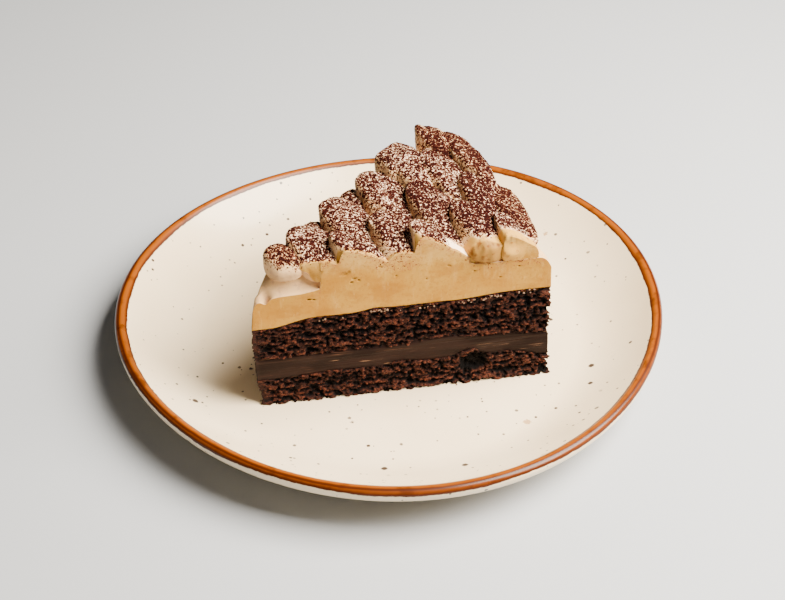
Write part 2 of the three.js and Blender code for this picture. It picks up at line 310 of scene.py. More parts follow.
class NodeSheet:
    """Builds a material's or a group's nodes with short calls."""

    def __init__(self, tree: bpy.types.NodeTree) -> None:
        """Starts on a tree whose nodes are cleared."""
        self.tree = tree
        tree.nodes.clear()

    def add(self, kind: str, values: dict | None = None, **settings: object) -> bpy.types.Node:
        """Adds a node.

        Args:
            kind: The node's type name without its ShaderNode prefix.
            values: Input name or number to a value, or to an output socket to link.
            **settings: Properties of the node.

        Returns:
            The node.
        """
        node = self.tree.nodes.new(kind if kind.startswith("Node") else "ShaderNode" + kind)
        for key, value in settings.items():
            setattr(node, key, value)
        for key, value in (values or {}).items():
            socket = node.inputs[key]
            if isinstance(value, Socket):
                self.tree.links.new(value, socket)
            else:
                socket.default_value = value
        return node

    def math(self, operation: str, first: object, second: object = 0.5, third: object = 0.0) -> Socket:
        """The result of a sum on up to three sockets or numbers."""
        return self.add("Math", {0: first, 1: second, 2: third}, operation=operation).outputs[0]

    def plus(self, first: object, second: object) -> Socket:
        """Two sockets or numbers added."""
        return self.math("ADD", first, second)

    def times(self, first: object, second: object) -> Socket:
        """Two sockets or numbers multiplied."""
        return self.math("MULTIPLY", first, second)

    def span(self, value: object, low: float, high: float, least: float = 0.0, most: float = 1.0) -> Socket:
        """A smooth step from least to most, of a socket that goes from low to high."""
        values = {0: value, 1: low, 2: high, 3: least, 4: most}
        return self.add("MapRange", values, interpolation_type="SMOOTHSTEP").outputs[0]

    def mix(self, share: object, first: object, second: object) -> Socket:
        """A blend of two colours."""
        return self.add("Mix", {0: share, 6: first, 7: second}, data_type="RGBA").outputs[2]

    def tint(self, base: object, colour: Colour, pattern: object, low: float, high: float,
             least: float = 0.0, most: float = 1.0) -> Socket:
        """Lays a colour over a base by a smooth step of a pattern.

        Args:
            base: The colour beneath.
            colour: The colour laid over it.
            pattern: The socket that decides how much of it shows.
            low: The pattern's value where the share is least.
            high: The pattern's value where the share is most.
            least: The smallest share.
            most: The largest share.

        Returns:
            The blended colour.
        """
        return self.mix(self.span(pattern, low, high, least, most), base, colour)

    def noise(self, vector: Socket, scale: float, detail: float = 2.0, rough: float = 0.5) -> Socket:
        """Plain noise from 0 to 1."""
        values = {"Vector": vector, "Scale": scale, "Detail": detail, "Roughness": rough}
        return self.add("TexNoise", values).outputs["Fac"]

    def sway(self, source: Socket, reach: float) -> Socket:
        """Noise from 0 to 1 drawn out to minus and plus a reach."""
        return self.math("MULTIPLY_ADD", source, 2.0 * reach, -reach)

    def place(self, scale: Sequence[float] = (1.0, 1.0, 1.0)) -> Socket:
        """The object's own coordinates, in millimetres, stretched by scale."""
        source = self.add("TexCoord").outputs["Object"]
        factors = tuple(factor / MM for factor in scale)
        return self.add("VectorMath", {0: source, 1: factors}, operation="MULTIPLY").outputs[0]

    def attribute(self, name: str) -> Socket:
        """A number that the mesh holds for each point."""
        return self.add("Attribute", attribute_name=name, attribute_type="GEOMETRY").outputs["Fac"]

    def surface(self, colour: object, roughness: object, specular: float, bump: tuple | None = None,
                more: dict | None = None) -> None:
        """Ends a material with its surface shader.

        Args:
            colour: The base colour.
            roughness: The roughness.
            specular: The specular level.
            bump: Strength, distance in metres and height, if there is a bump.
            more: Other inputs of the shader.
        """
        values = {"Base Color": colour, "Roughness": roughness, "Specular IOR Level": specular}
        values.update(more or {})
        if bump:
            heights = dict(zip(("Strength", "Distance", "Height"), bump))
            values["Normal"] = self.add("Bump", heights).outputs[0]
        shader = self.add("BsdfPrincipled", values)
        self.tree.links.new(shader.outputs[0], self.add("OutputMaterial").inputs[0])


def new_material(name: str) -> tuple[Material, NodeSheet]:
    """A bare material and the sheet for its nodes."""
    material = bpy.data.materials.new(name)
    material.use_nodes = True
    return material, NodeSheet(material.node_tree)


def speckle_group() -> bpy.types.NodeTree:
    """The glaze's spot pattern: scattered round spots with ragged edges, as a mask and a tone for each."""
    found = bpy.data.node_groups.get("scattered_spots")
    if found:
        return found
    group = bpy.data.node_groups.new("scattered_spots", "ShaderNodeTree")
    face = group.interface
    face.new_socket("Vector", in_out="INPUT", socket_type="NodeSocketVector")
    for name, value in (("Scale", 1.0), ("Size", 0.4), ("Ragged", 0.3), ("Share", 1.0)):
        face.new_socket(name, in_out="INPUT", socket_type="NodeSocketFloat").default_value = value
    face.new_socket("Mask", in_out="OUTPUT", socket_type="NodeSocketFloat")
    face.new_socket("Tone", in_out="OUTPUT", socket_type="NodeSocketFloat")
    sheet = NodeSheet(group)
    start = sheet.add("NodeGroupInput").outputs
    wobble = sheet.add("TexNoise", {"Vector": start["Vector"], "Scale": 1.3, "Detail": 2.0})
    push = sheet.add("VectorMath", {0: wobble.outputs["Color"], 1: (0.5, 0.5, 0.5)}, operation="SUBTRACT")
    amount = sheet.add("VectorMath", {0: push.outputs[0], "Scale": start["Ragged"]}, operation="SCALE")
    moved = sheet.add("VectorMath", {0: start["Vector"], 1: amount.outputs[0]}, operation="ADD")
    cells = sheet.add("TexVoronoi", {"Vector": moved.outputs[0], "Scale": start["Scale"]}, feature="F1")
    tone = sheet.add("SeparateColor", {"Color": cells.outputs["Color"]}).outputs
    size = sheet.times(start["Size"], sheet.plus(tone[0], 0.45))
    spot = sheet.math("DIVIDE", cells.outputs["Distance"], size)
    chosen = sheet.math("LESS_THAN", tone[1], start["Share"])
    mask = sheet.times(sheet.span(spot, 1.15, 0.75), chosen)
    sheet.add("NodeGroupOutput", {"Mask": mask, "Tone": tone[2]})
    return group


@dataclass(frozen=True)
class GlazeFinish:
    """Warm white stoneware glaze with iron specks and a band painted by hand over the lip.

    The band's places are millimetres over the lip from its crown, negative on the well's side.
    """

    white: Colour = (0.84, 0.685, 0.46, 1.0)
    shade: Colour = (0.79, 0.63, 0.41, 1.0)
    speck: Colour = (0.06, 0.038, 0.025, 1.0)
    halo: Colour = (0.48, 0.30, 0.15, 1.0)
    band: Colour = (0.128, 0.026, 0.0006, 1.0)
    band_dark: Colour = (0.036, 0.0055, 0.0004, 1.0)
    # partly paler paint, partly a painted highlight on the lip's crown
    band_pale_and_painted_highlight: Colour = (0.31, 0.082, 0.0018, 1.0)
    band_start: float = -2.7
    band_end: float = 3.0
    band_edge: float = 0.2
    painted_highlight_at: float = -0.9
    line_at: float = 0.8
    roughness: float = 0.3
    coat: float = 0.4
    coat_on_band: float = 0.04

    def specks(self, sheet: NodeSheet, place: Socket, colour: Socket) -> Socket:
        """Scatters specks of several sizes and pale halos over the glaze."""
        for tint, scale, size, ragged, share in (
                (self.speck, 0.10, 0.10, 0.9, 0.85), (self.speck, 0.21, 0.11, 0.5, 0.4),
                (self.speck, 0.33, 0.13, 0.3, 0.3), (self.halo, 0.07, 0.10, 1.8, 0.3)):
            values = {"Vector": place, "Scale": scale, "Size": size, "Ragged": ragged, "Share": share}
            spots = sheet.add("Group", values, node_tree=speckle_group()).outputs
            strength = sheet.times(spots["Mask"], sheet.math("MULTIPLY_ADD", spots["Tone"], 1.1, 0.5))
            colour = sheet.mix(sheet.math("MINIMUM", strength, 1.0), colour, tint)
        return colour

    def paint(self, sheet: NodeSheet, place: Socket) -> tuple[Socket, Socket]:
        """The band's share and colour: dark edges, a middle partly painted as a highlight, a dark line
        outside it.
        """
        girth = sheet.attribute("girth")
        wobble = sheet.sway(sheet.noise(place, 0.035), 1.1)
        fine = sheet.sway(sheet.noise(place, 0.4), 0.35)
        stroke = sheet.sway(sheet.noise(place, 0.09, 3.0), 0.8)
        start = sheet.plus(girth, sheet.plus(wobble, fine))
        end = sheet.plus(girth, sheet.math("SUBTRACT", fine, wobble))
        inner = sheet.span(start, self.band_start - self.band_edge, self.band_start + self.band_edge)
        outer = sheet.span(end, self.band_end + self.band_edge, self.band_end - self.band_edge)
        edges = sheet.math("MAXIMUM", sheet.span(start, self.band_start + 1.2, self.band_start + 0.3),
                           sheet.span(end, self.band_end - 1.5, self.band_end - 0.5))
        tone = sheet.mix(sheet.times(edges, 0.75), self.band, self.band_dark)
        # the lighter middle along the lip's crown is partly paler paint, partly a painted highlight
        middle = sheet.math("MULTIPLY_ADD", stroke, 0.5, sheet.math("SUBTRACT", girth, self.painted_highlight_at))
        tone = sheet.tint(tone, self.band_pale_and_painted_highlight, sheet.math("ABSOLUTE", middle), 1.3, 0.4, 0.0, 0.45)
        line = sheet.math("MULTIPLY_ADD", stroke, 0.35, sheet.math("SUBTRACT", girth, self.line_at))
        tone = sheet.tint(tone, self.band_dark, sheet.math("ABSOLUTE", line), 0.6, 0.25, 0.0, 0.85)
        tone = sheet.tint(tone, self.band_dark, sheet.noise(place, 0.16, 3.0), 0.52, 0.72, 0.0, 0.6)
        return sheet.times(inner, outer), tone

    def material(self) -> Material:
        """The plate's material: reads the distance over the lip from the mesh."""
        material, sheet = new_material("speckled_glaze")
        place = sheet.place()
        colour = sheet.tint(self.white, self.shade, sheet.noise(place, 0.02, 3.0), 0.35, 0.7)
        painted, tone = self.paint(sheet, place)
        colour = sheet.mix(painted, self.specks(sheet, place, colour), tone)
        coat = sheet.math("MULTIPLY_ADD", painted, self.coat_on_band - self.coat, self.coat)
        rough = sheet.plus(sheet.sway(sheet.noise(place, 0.25), 0.06), self.roughness)
        bump = (0.06, 0.0006, sheet.noise(place, 0.12))
        sheet.surface(colour, rough, 0.2, bump, {"Coat Weight": coat, "Coat Roughness": 0.18})
        return material


@dataclass(frozen=True)
class SpongeFinish:
    """Very dark chocolate sponge, torn at its faces: red-brown crumb, painted shade in hollows, painted
    highlights.
    """

    # painted shade: the near black of the deepest torn hollows
    hollow: Colour = (0.0020, 0.0010, 0.0009, 1.0)
    crumb: Colour = (0.024, 0.0068, 0.0045, 1.0)
    # painted highlight on the crumbs that stand out
    crumb_painted_highlight: Colour = (0.14, 0.035, 0.016, 1.0)
    # painted small highlights that sparkle on raised crumbs
    painted_glint: Colour = (0.40, 0.20, 0.12, 1.0)
    pale: Colour = (0.30, 0.185, 0.12, 1.0)

    def material(self) -> Material:
        """The sponge's material: painted shade and painted highlights, by the depth that each point was torn
        to.
        """
        material, sheet = new_material("torn_sponge")
        grain = sheet.noise(sheet.place((0.6, 0.6, 1.1)), 1.5, 4.0, 0.7)
        fine = sheet.noise(sheet.place((0.8, 0.8, 1.1)), 3.9, 3.0, 0.68)
        sharp = sheet.noise(sheet.place((1.0, 1.0, 1.4)), 3.6, 2.0, 0.7)
        level = sheet.plus(sheet.attribute("relief"), sheet.sway(grain, 1.8))
        painted_highlight_level = sheet.plus(level, sheet.sway(fine, 1.7))
        # painted shade: the deeper a point was torn, the nearer black it is
        colour = sheet.tint(self.hollow, self.crumb, level, -0.55, 0.12)
        # painted highlight: raised crumbs turn pale red-brown
        colour = sheet.tint(colour, self.crumb_painted_highlight, painted_highlight_level, 0.25, 1.05)
        # painted small highlights, scattered over raised crumbs
        painted_glint_mask = sheet.times(sheet.span(sharp, 0.63, 0.70), sheet.span(level, -0.1, 0.5))
        colour = sheet.mix(sheet.times(painted_glint_mask, 0.8), colour, self.painted_glint)
        colour = sheet.tint(colour, self.pale, sheet.attribute("pale"), 0.4, 0.6)
        height = sheet.plus(sheet.times(grain, 0.8), sheet.times(fine, 0.5))
        sheet.surface(colour, sheet.span(fine, 0.3, 0.7, 0.5, 0.85), 0.12, (1.0, 0.0011, height))
        return material


@dataclass(frozen=True)
class FillingFinish:
    """Smooth dark chocolate filling with lighter streaks that the knife drew along it."""

    dark: Colour = (0.0085, 0.0038, 0.0032, 1.0)
    light: Colour = (0.0165, 0.0080, 0.0066, 1.0)
    streak: Colour = (0.10, 0.045, 0.027, 1.0)
    stroke: Colour = (0.40, 0.22, 0.13, 1.0)

    def material(self) -> Material:
        """The filling's material."""
        material, sheet = new_material("chocolate_filling")
        broad = sheet.noise(sheet.place((0.05, 0.05, 0.28)), 1.0, 3.0)
        thin = sheet.noise(sheet.place((0.028, 0.028, 1.0)), 1.5, 4.0, 0.62)
        keen = sheet.noise(sheet.place((0.035, 0.035, 2.3)), 1.0)
        patches = sheet.noise(sheet.place((0.12, 0.12, 0.3)), 1.0)
        smudge = sheet.noise(sheet.place((0.16, 0.16, 0.7)), 1.0, 3.0, 0.6)
        colour = sheet.tint(self.dark, self.light, broad, 0.35, 0.65)
        streaks = sheet.times(sheet.span(thin, 0.61, 0.70), sheet.span(broad, 0.42, 0.62))
        colour = sheet.mix(sheet.times(streaks, 0.8), colour, self.streak)
        strokes = sheet.times(sheet.span(keen, 0.64, 0.68), sheet.span(patches, 0.5, 0.62))
        colour = sheet.mix(sheet.times(strokes, 0.6), colour, self.stroke)
        colour = sheet.tint(colour, self.dark, smudge, 0.62, 0.78, 0.0, 0.7)
        height = sheet.plus(thin, sheet.times(sheet.noise(sheet.place(), 1.2), 0.25))
        sheet.surface(colour, sheet.span(thin, 0.3, 0.7, 0.42, 0.62), 0.07, (0.5, 0.0006, height))
        return material


@dataclass(frozen=True)
class CreamFinish:
    """Coffee cream: tan where the knife cut it, paler where it was piped, under sifted cocoa, with painted
    shade.

    Cocoa shows where bare_level, raised by cover_level for all the cocoa there is, passes its grain.
    """

    cut: Colour = (0.44, 0.236, 0.037, 1.0)
    cut_warm: Colour = (0.385, 0.180, 0.021, 1.0)
    cut_pale: Colour = (0.58, 0.37, 0.115, 1.0)
    cut_dark: Colour = (0.33, 0.145, 0.018, 1.0)
    # painted shade, laid on by the pit value
    pit: Colour = (0.085, 0.028, 0.006, 1.0)
    piped: Colour = (0.95, 0.69, 0.46, 1.0)
    # tan of cream drawn by the knife, also used as painted shade
    smear_and_painted_shade_tan: Colour = (0.50, 0.27, 0.055, 1.0)
    stain: Colour = (0.22, 0.060, 0.010, 1.0)
    cocoa: Colour = (0.010, 0.0013, 0.0007, 1.0)
    cocoa_light: Colour = (0.042, 0.0053, 0.0024, 1.0)
    film: Colour = (0.42, 0.13, 0.065, 1.0)
    bare_level: float = 0.372
    cover_level: float = 0.180
    grain_edge: float = 0.022
    film_width: float = 0.085

    def tan(self, sheet: NodeSheet, place: Socket) -> Socket:
        """The cut cream: drifts, scraped streaks, a paler upper edge and mottling."""
        upper = sheet.add("SeparateXYZ", {0: place}).outputs[2]
        cloudy = sheet.plus(upper, sheet.sway(sheet.noise(place, 0.22, 3.0, 0.6), 4.5))
        scraped = sheet.noise(sheet.place((0.25, 0.25, 0.06)), 1.0, 3.0, 0.6)
        warm = sheet.noise(sheet.place((0.10, 0.10, 0.16)), 1.0, 3.0, 0.55)
        drawn = sheet.noise(sheet.place((0.55, 0.55, 0.22)), 1.0, 3.0, 0.6)
        mottled = sheet.noise(place, 0.75, 3.0, 0.65)
        colour = sheet.tint(self.cut, self.cut_warm, sheet.noise(place, 0.06, 3.0), 0.38, 0.64, 0.0, 0.9)
        for tone, pattern, low, high, least, most in (
                (self.cut_pale, scraped, 0.50, 0.76, 0.0, 0.5), (self.cut_pale, cloudy, 60.0, 69.0, 0.0, 0.5),
                (self.cut_dark, mottled, 0.35, 0.5, 0.45, 0.0), (self.cut_dark, warm, 0.50, 0.68, 0.0, 0.6),
                (self.cut_pale, drawn, 0.58, 0.74, 0.0, 0.3)):
            colour = sheet.tint(colour, tone, pattern, low, high, least, most)
        return colour

    def material(self) -> Material:
        """The mousse's and dollops' material: reads the cut, tan, pit and dust values that the mesh holds."""
        material, sheet = new_material("coffee_cream")
        place = sheet.place()
        dust = sheet.attribute("dust")
        stains = sheet.noise(place, 0.42, 3.0, 0.6)
        # tan for cream drawn by the knife and for painted shade on flanks turned from the light
        smear_and_painted_shade_tan = sheet.tint(self.smear_and_painted_shade_tan, self.stain, stains, 0.53, 0.70, 0.0, 0.75)
        colour = sheet.mix(sheet.attribute("smear_and_painted_shade"), self.piped, smear_and_painted_shade_tan)
        colour = sheet.mix(sheet.attribute("cut"), colour, self.tan(sheet, place))
        # pit: painted shade in air holes, folds, under the tip's dollop and at the mousse's foot
        colour = sheet.tint(colour, self.pit, sheet.attribute("pit"), 0.08, 0.4)
        clumps = sheet.times(sheet.noise(place, 1.05, 2.0, 0.6), 0.6)
        grain = sheet.plus(clumps, sheet.times(sheet.noise(place, 2.6), 0.4))
        patch = sheet.sway(sheet.noise(place, 0.16), 0.06)
        level = sheet.math("MULTIPLY_ADD", dust, self.cover_level, self.bare_level)
        over = sheet.math("SUBTRACT", sheet.plus(level, patch), grain)
        dusted = sheet.span(dust, 0.02, 0.12)
        powder = sheet.times(sheet.span(over, -self.grain_edge, self.grain_edge), dusted)
        tone = sheet.tint(self.cocoa, self.cocoa_light, over, 0.0, 0.12, 1.0, 0.0)
        film = sheet.times(sheet.span(over, -self.film_width, -0.01, 0.0, 0.6), dusted)
        colour = sheet.mix(powder, sheet.mix(film, colour, self.film), tone)
        soft = sheet.times(sheet.noise(place, 0.8, 3.0), 0.3)
        height = sheet.plus(soft, sheet.times(powder, 0.5))
        rough = sheet.math("MULTIPLY_ADD", powder, 0.35, 0.5)
        glow = {"Subsurface Weight": 0.08, "Subsurface Scale": 0.002, "Subsurface Radius": (1.0, 0.6, 0.35)}
        sheet.surface(colour, rough, 0.06, (0.5, 0.0005, height), glow)
        return material


@dataclass(frozen=True)
class PowderFinish:
    """Loose grains of cocoa: one dark brown that varies from grain to grain."""

    dark: Colour = (0.012, 0.0016, 0.0008, 1.0)
    light: Colour = (0.045, 0.0058, 0.0026, 1.0)

    def material(self) -> Material:
        """The grains' material."""
        material, sheet = new_material("cocoa_grains")
        place = sheet.place()
        colour = sheet.tint(self.dark, self.light, sheet.noise(place, 0.9), 0.3, 0.7)
        sheet.surface(colour, 0.85, 0.05, (0.4, 0.0002, sheet.noise(place, 6.0)))
        return material


@dataclass(frozen=True)
class Plate:
    """The round plate: a disc drawn outwards ring by ring, over the lip and back under to the foot.

    The skirt lists rings under the lip by their inset and height. The waves list how far the rim is out
    of round: how many times the bend comes round, and its cosine and sine share of the radius.
    """

    segments: int = 192
    radius: float = 105.5
    height: float = 21.3
    well_height: float = 6.0
    well_radius: float = 73.0
    wall: float = 4.0
    wall_power: float = 1.7
    wall_steps: int = 16
    lip: float = 2.2
    lip_start: float = 0.72 * math.pi
    lip_end: float = -0.25
    lip_steps: int = 9
    skirt: Pairs = ((0.3, 17.5), (0.85, 16.3), (2.2, 15.0))
    under_steps: int = 10
    foot_outer: float = 62.0
    foot_inner: float = 55.5
    foot_recess: float = 1.8
    axis: tuple[float, float] = (1.16, 0.98)
    waves: Sequence[tuple[int, float, float]] = ((2, 0.0101, 0.0098), (3, -0.0111, 0.0098))

    def lip_point(self, angle: float) -> tuple[float, float]:
        """Radius and height of the point of the round lip at an angle."""
        centre, level = self.radius - self.lip, self.height - self.lip
        return centre + self.lip * math.cos(angle), level + self.lip * math.sin(angle)

    def wall_height(self, radius: Array | float) -> Array | float:
        """The height of the wall's upper face at one radius or many."""
        end, top = self.lip_point(self.lip_start)
        share = np.maximum(radius - self.well_radius, 0.0) / (end - self.well_radius)
        return self.well_height + (top - self.well_height) * share ** self.wall_power

    def profile(self) -> list[tuple[float, float]]:
        """Radius and height of each ring, from the well over the lip to the middle of the underside."""
        rings = [(self.well_radius * share, self.well_height) for share in (0.5, 0.8, 0.93, 1.0)]
        end = self.lip_point(self.lip_start)[0]
        for step in range(1, self.wall_steps + 1):
            radius = self.well_radius + (end - self.well_radius) * step / self.wall_steps
            rings.append((radius, self.wall_height(radius)))
        for step in range(1, self.lip_steps + 1):
            angle = self.lip_start + (self.lip_end - self.lip_start) * step / self.lip_steps
            rings.append(self.lip_point(angle))
        rings += [(self.radius - inset, height) for inset, height in self.skirt]
        for step in range(1, self.under_steps + 1):
            radius = self.radius - 0.9 - (self.radius - self.foot_outer - 3.9) * step / self.under_steps
            level = self.wall_height(radius - 2.2) - self.wall
            rings.append((radius, max(level, self.foot_recess + 0.2)))
        rings += [(self.foot_outer, 1.2), (self.foot_outer - 0.4, 0.35), (self.foot_outer - 1.0, 0.0)]
        rings += [(self.foot_inner + 1.0, 0.0), (self.foot_inner + 0.3, 0.4)]
        rings += [(self.foot_inner * share, self.foot_recess) for share in (1.0, 0.9, 0.5)]
        return rings

    def build(self) -> Piece:
        """Draws the plate from one disc by extruding its edge and resizing the new ring."""
        (reach, height), *others = self.profile()
        deselect_all()
        bpy.ops.mesh.primitive_circle_add(vertices=self.segments, radius=reach * MM, fill_type="NGON",
                                          location=(0.0, 0.0, height * MM))
        piece = bpy.context.active_object
        bpy.ops.object.transform_apply(location=True, rotation=True, scale=True)
        bpy.ops.object.mode_set(mode="EDIT")
        bpy.context.tool_settings.mesh_select_mode = (False, True, False)
        bpy.ops.mesh.select_all(action="SELECT")
        for radius, level in others:
            rise = (0.0, 0.0, (level - height) * MM)
            bpy.ops.mesh.extrude_edges_move(TRANSFORM_OT_translate={"value": rise})
            factor = radius / reach
            bpy.ops.transform.resize(value=(factor, factor, 1.0), center_override=(0.0, 0.0, 0.0))
            reach, height = radius, level
        bpy.ops.mesh.edge_face_add()
        face_outwards()
        return piece

    def girth(self, points: Array) -> Array:
        """The distance of each point over the lip, from its crown: negative inside, positive outside."""
        reach = np.hypot(points[:, 0], points[:, 1])
        centre, level = self.radius - self.lip, self.height - self.lip
        over = (math.pi / 2.0 - np.arctan2(points[:, 2] - level, reach - centre)) * self.lip
        inside = (reach < centre) & (points[:, 2] > self.wall_height(reach) - 1.0)
        start = self.lip_point(self.lip_start)[0]
        before = (math.pi / 2.0 - self.lip_start) * self.lip
        over = np.where(inside & (reach < start), (reach - start) * 1.25 + before, over)
        return np.where(~inside & (points[:, 2] < level - 1.0), 4.2 + (level - 1.0 - points[:, 2]), over)

    def wave(self, points: Array) -> Array:
        """Draws the round plate out of round towards its rim and sets it on its axis."""
        angle = np.arctan2(points[:, 1], points[:, 0])
        reach = np.hypot(points[:, 0], points[:, 1])
        share = np.clip((reach - self.foot_outer) / (self.radius - self.foot_outer), 0.0, 1.0)
        sway = sum(cos * np.cos(bend * angle) + sin * np.sin(bend * angle) for bend, cos, sin in self.waves)
        factor = 1.0 + sway * share
        return np.stack([points[:, 0] * factor + self.axis[0], points[:, 1] * factor + self.axis[1],
                         points[:, 2]], axis=1)

    def make(self) -> None:
        """Builds and dresses the plate."""
        piece = self.build()
        points = read_rows(piece, "co") / MM
        keep_value(piece, "girth", self.girth(points))
        write_points(piece, self.wave(points) * MM)
        finish_piece(piece, "glazed_plate", GlazeFinish().material(), ["plate"])
        crease(piece, 35.0)


@dataclass(frozen=True)
class LayerBlank:
    """A wedge-shaped blank: a disc cut down to the wedge, raised and divided finely at its sides."""

    arc_step: float = 0.42
    rows: int = 30
    cap_rings: Sequence[float] = ()
    edge_reach: float = 1.6

    def build(self) -> Piece:
        """Makes the blank in millimetres, with heights from 0 at its foot to 1 at its top."""
        around = int(round(2.0 * math.pi * WEDGE.length / self.arc_step / 8.0)) * 8
        deselect_all()
        bpy.ops.mesh.primitive_circle_add(vertices=around, radius=WEDGE.length, fill_type="NGON")
        piece = bpy.context.active_object
        bpy.ops.object.mode_set(mode="EDIT")
        for normal in ((0.0, -1.0, 0.0), (*WEDGE.back_normal(), 0.0)):
            cut_off((0.0, 0.0, 0.0), normal, fill=False)
        for longest in (20.0, 2.0):
            select_where(piece, "edges", lambda edge: edge.calc_length() > longest)
            bpy.ops.mesh.subdivide(number_cuts=15)
        bpy.ops.mesh.select_all(action="SELECT")
        bpy.ops.mesh.remove_doubles(threshold=0.02)
        bpy.context.tool_settings.mesh_select_mode = (False, False, True)
        bpy.ops.mesh.select_all(action="SELECT")
        bpy.ops.mesh.extrude_region_move(TRANSFORM_OT_translate={"value": (0.0, 0.0, 1.0)})
        select_where(piece, "edges", lambda edge: abs(edge.verts[0].co.z - edge.verts[1].co.z) > 0.5)
        bpy.ops.mesh.subdivide(number_cuts=self.rows - 1)
        middle = (WEDGE.length * 0.62, WEDGE.length * 0.62 * math.tan(WEDGE.angle / 2.0), 1.0)
        size = 1.0
        for share in self.cap_rings:
            select_where(piece, "faces", lambda face: len(face.verts) > 8 and face.verts[0].co.z > 0.5)
            bpy.ops.mesh.extrude_region_move(TRANSFORM_OT_translate={"value": (0.0, 0.0, 0.0)})
            bpy.ops.transform.resize(value=(share / size, share / size, 1.0), center_override=middle)
            size = share
        face_outwards()
        return piece

    def sides(self, points: Array) -> tuple[Array, Array]:
        """Which side each point is on, and the direction in plan that the side looks to.

        Args:
            points: The blank's points.

        Returns:
            Side values, and rows of two numbers.
        """
        reach = np.hypot(points[:, 0], points[:, 1])
        back = np.asarray(WEDGE.back_normal())
        behind = points[:, :2] @ back
        side = np.full(len(points), Side.INSIDE.value)
        side[reach > WEDGE.length - 0.05] = Side.ROUND.value
        side[np.abs(behind) < 0.01] = Side.BACK.value
        side[np.abs(points[:, 1]) < 0.01] = Side.FRONT.value
        radial = points[:, :2] / np.maximum(reach, 0.01)[:, None]
        front_pull = 1.0 - smoothstep(0.0, self.edge_reach, np.abs(points[:, 1]))
        back_pull = 1.0 - smoothstep(0.0, self.edge_reach, np.abs(behind))
        round_pull = smoothstep(WEDGE.length - self.edge_reach, WEDGE.length, reach)
        look = front_pull[:, None] * [0.0, -1.0] + back_pull[:, None] * back + round_pull[:, None] * radial
        size = np.linalg.norm(look, axis=1)
        look[size > 0.01] /= size[size > 0.01][:, None]
        look[side == Side.INSIDE.value] = 0.0
        return side, look


@dataclass(frozen=True)
class Seam:
    """The level between two layers, with the steps and humps that it has along the slice.

    A step lists its rise and where it starts and ends, a hump its rise, middle and width.
    """

    level: float
    steps: Sequence[tuple[float, float, float]] = ()
    humps: Sequence[tuple[float, float, float]] = ()

    def height(self, points: Array) -> Array:
        """The seam's height at each point in plan."""
        along = np.hypot(points[:, 0], points[:, 1])
        height = np.full(len(points), self.level)
        for rise, start, end in self.steps:
            height += rise * smoothstep(start, end, along)
        for rise, middle, width in self.humps:
            height += rise * hump(along, middle, width)
        return height


WELL = Seam(0.05)
BASE_TOP = Seam(11.4, ((1.0, 14.0, 24.0), (-3.6, 94.0, 108.0)),
                ((1.6, 53.0, 4.0), (-0.5, 43.0, 4.0), (3.6, 78.5, 5.0)))
FILLING_TOP = Seam(21.2, ((-1.4, 92.0, 108.0),), ((1.8, 68.0, 8.0), (0.6, 34.0, 4.0)))
SPONGE_TOP = Seam(35.4, ((3.2, 5.0, 22.0), (0.9, 33.0, 46.0), (1.6, 72.0, 96.0)), ((0.5, 44.0, 3.0),))


@dataclass(frozen=True)
class SpongeLayer:
    """A layer of torn chocolate sponge.

    The large hollow in its front face, where it has one, is given by its place along, height, half width
    and half height.
    """

    name: str
    node: str
    foot: Seam
    top: Seam
    rows: int
    shift: float
    round_out: float
    foot_out: float = 0.0
    hollow: Sequence[float] = ()
    hollow_depth: float = 2.4
    ragged_foot: float = 0.9
    inset: float = 0.1

    def crumb(self, points: Array) -> Array:
        """How far each point stands out of the cut, in millimetres: wide tears, hollows and crumbs."""
        tears = grain_noise(points, (8.0, 8.0, 2.6), self.shift)
        hollows = grain_noise(points, (3.0, 3.0, 1.35), self.shift + 9.0)
        strands = grain_noise(points, (1.25, 1.25, 0.75), self.shift + 17.0)
        crumbs = cell_noise(points, (1.05, 1.05, 0.8), self.shift)
        rough = 0.45 * hollows + 0.5 * strands + 0.22 * tears + 0.35 * (0.4 - crumbs)
        out = 0.45 * smoothstep(0.0, 0.35, rough) - 1.5 * smoothstep(0.02, -0.3, rough)
        return out + 0.2 * tears + 0.05

    def pit(self, points: Array) -> Array:
        """The depth of the one large hollow in the front face, if the layer has one."""
        if not self.hollow:
            return np.zeros(len(points))
        along, height, width, tall = self.hollow
        inside = 1.0 - np.hypot((points[:, 0] - along) / width, (points[:, 2] - height) / tall)
        return self.hollow_depth * smoothstep(0.0, 0.5, inside) * (np.abs(points[:, 1]) < 0.01)

    def make(self, finish: Material) -> Piece:
        """Builds and dresses the layer.

        Args:
            finish: The sponge's material.

        Returns:
            The finished piece.
        """
        blank = LayerBlank(rows=self.rows)
        piece = blank.build()
        points = read_rows(piece, "co")
        share = points[:, 2].copy()
        side, look = blank.sides(points)
        flat = points * [1.0, 1.0, 0.0]
        ragged = 0.5 * grain_noise(flat, (2.4, 2.4, 1.0), self.shift + 3.0)
        ragged += 0.35 * grain_noise(flat, (0.9, 0.9, 1.0), self.shift + 5.0)
        top = self.top.height(points) + ragged
        foot = self.foot.height(points) + np.abs(ragged) * self.ragged_foot
        points[:, 2] = foot + (top - foot) * share
        rounded = side == Side.ROUND.value
        relief = self.crumb(points) * np.where(rounded, 0.7, 1.0)
        relief *= 0.25 + 0.75 * smoothstep(0.5, 6.0, np.hypot(points[:, 0], points[:, 1]))
        relief -= self.pit(points)
        stand = np.where(rounded, self.round_out * smoothstep(0.95, 0.8, share), 0.0)
        stand += self.foot_out * smoothstep(0.3, 0.0, share) - self.inset
        points[:, :2] += look * (relief + stand)[:, None]
        # the material paints shade in low relief and highlights on high relief
        keep_value(piece, "relief", relief)
        keep_value(piece, "pale", np.zeros(len(points)))
        write_points(piece, WEDGE.settle(points))
        finish_piece(piece, self.name, finish, [self.node])
        return piece


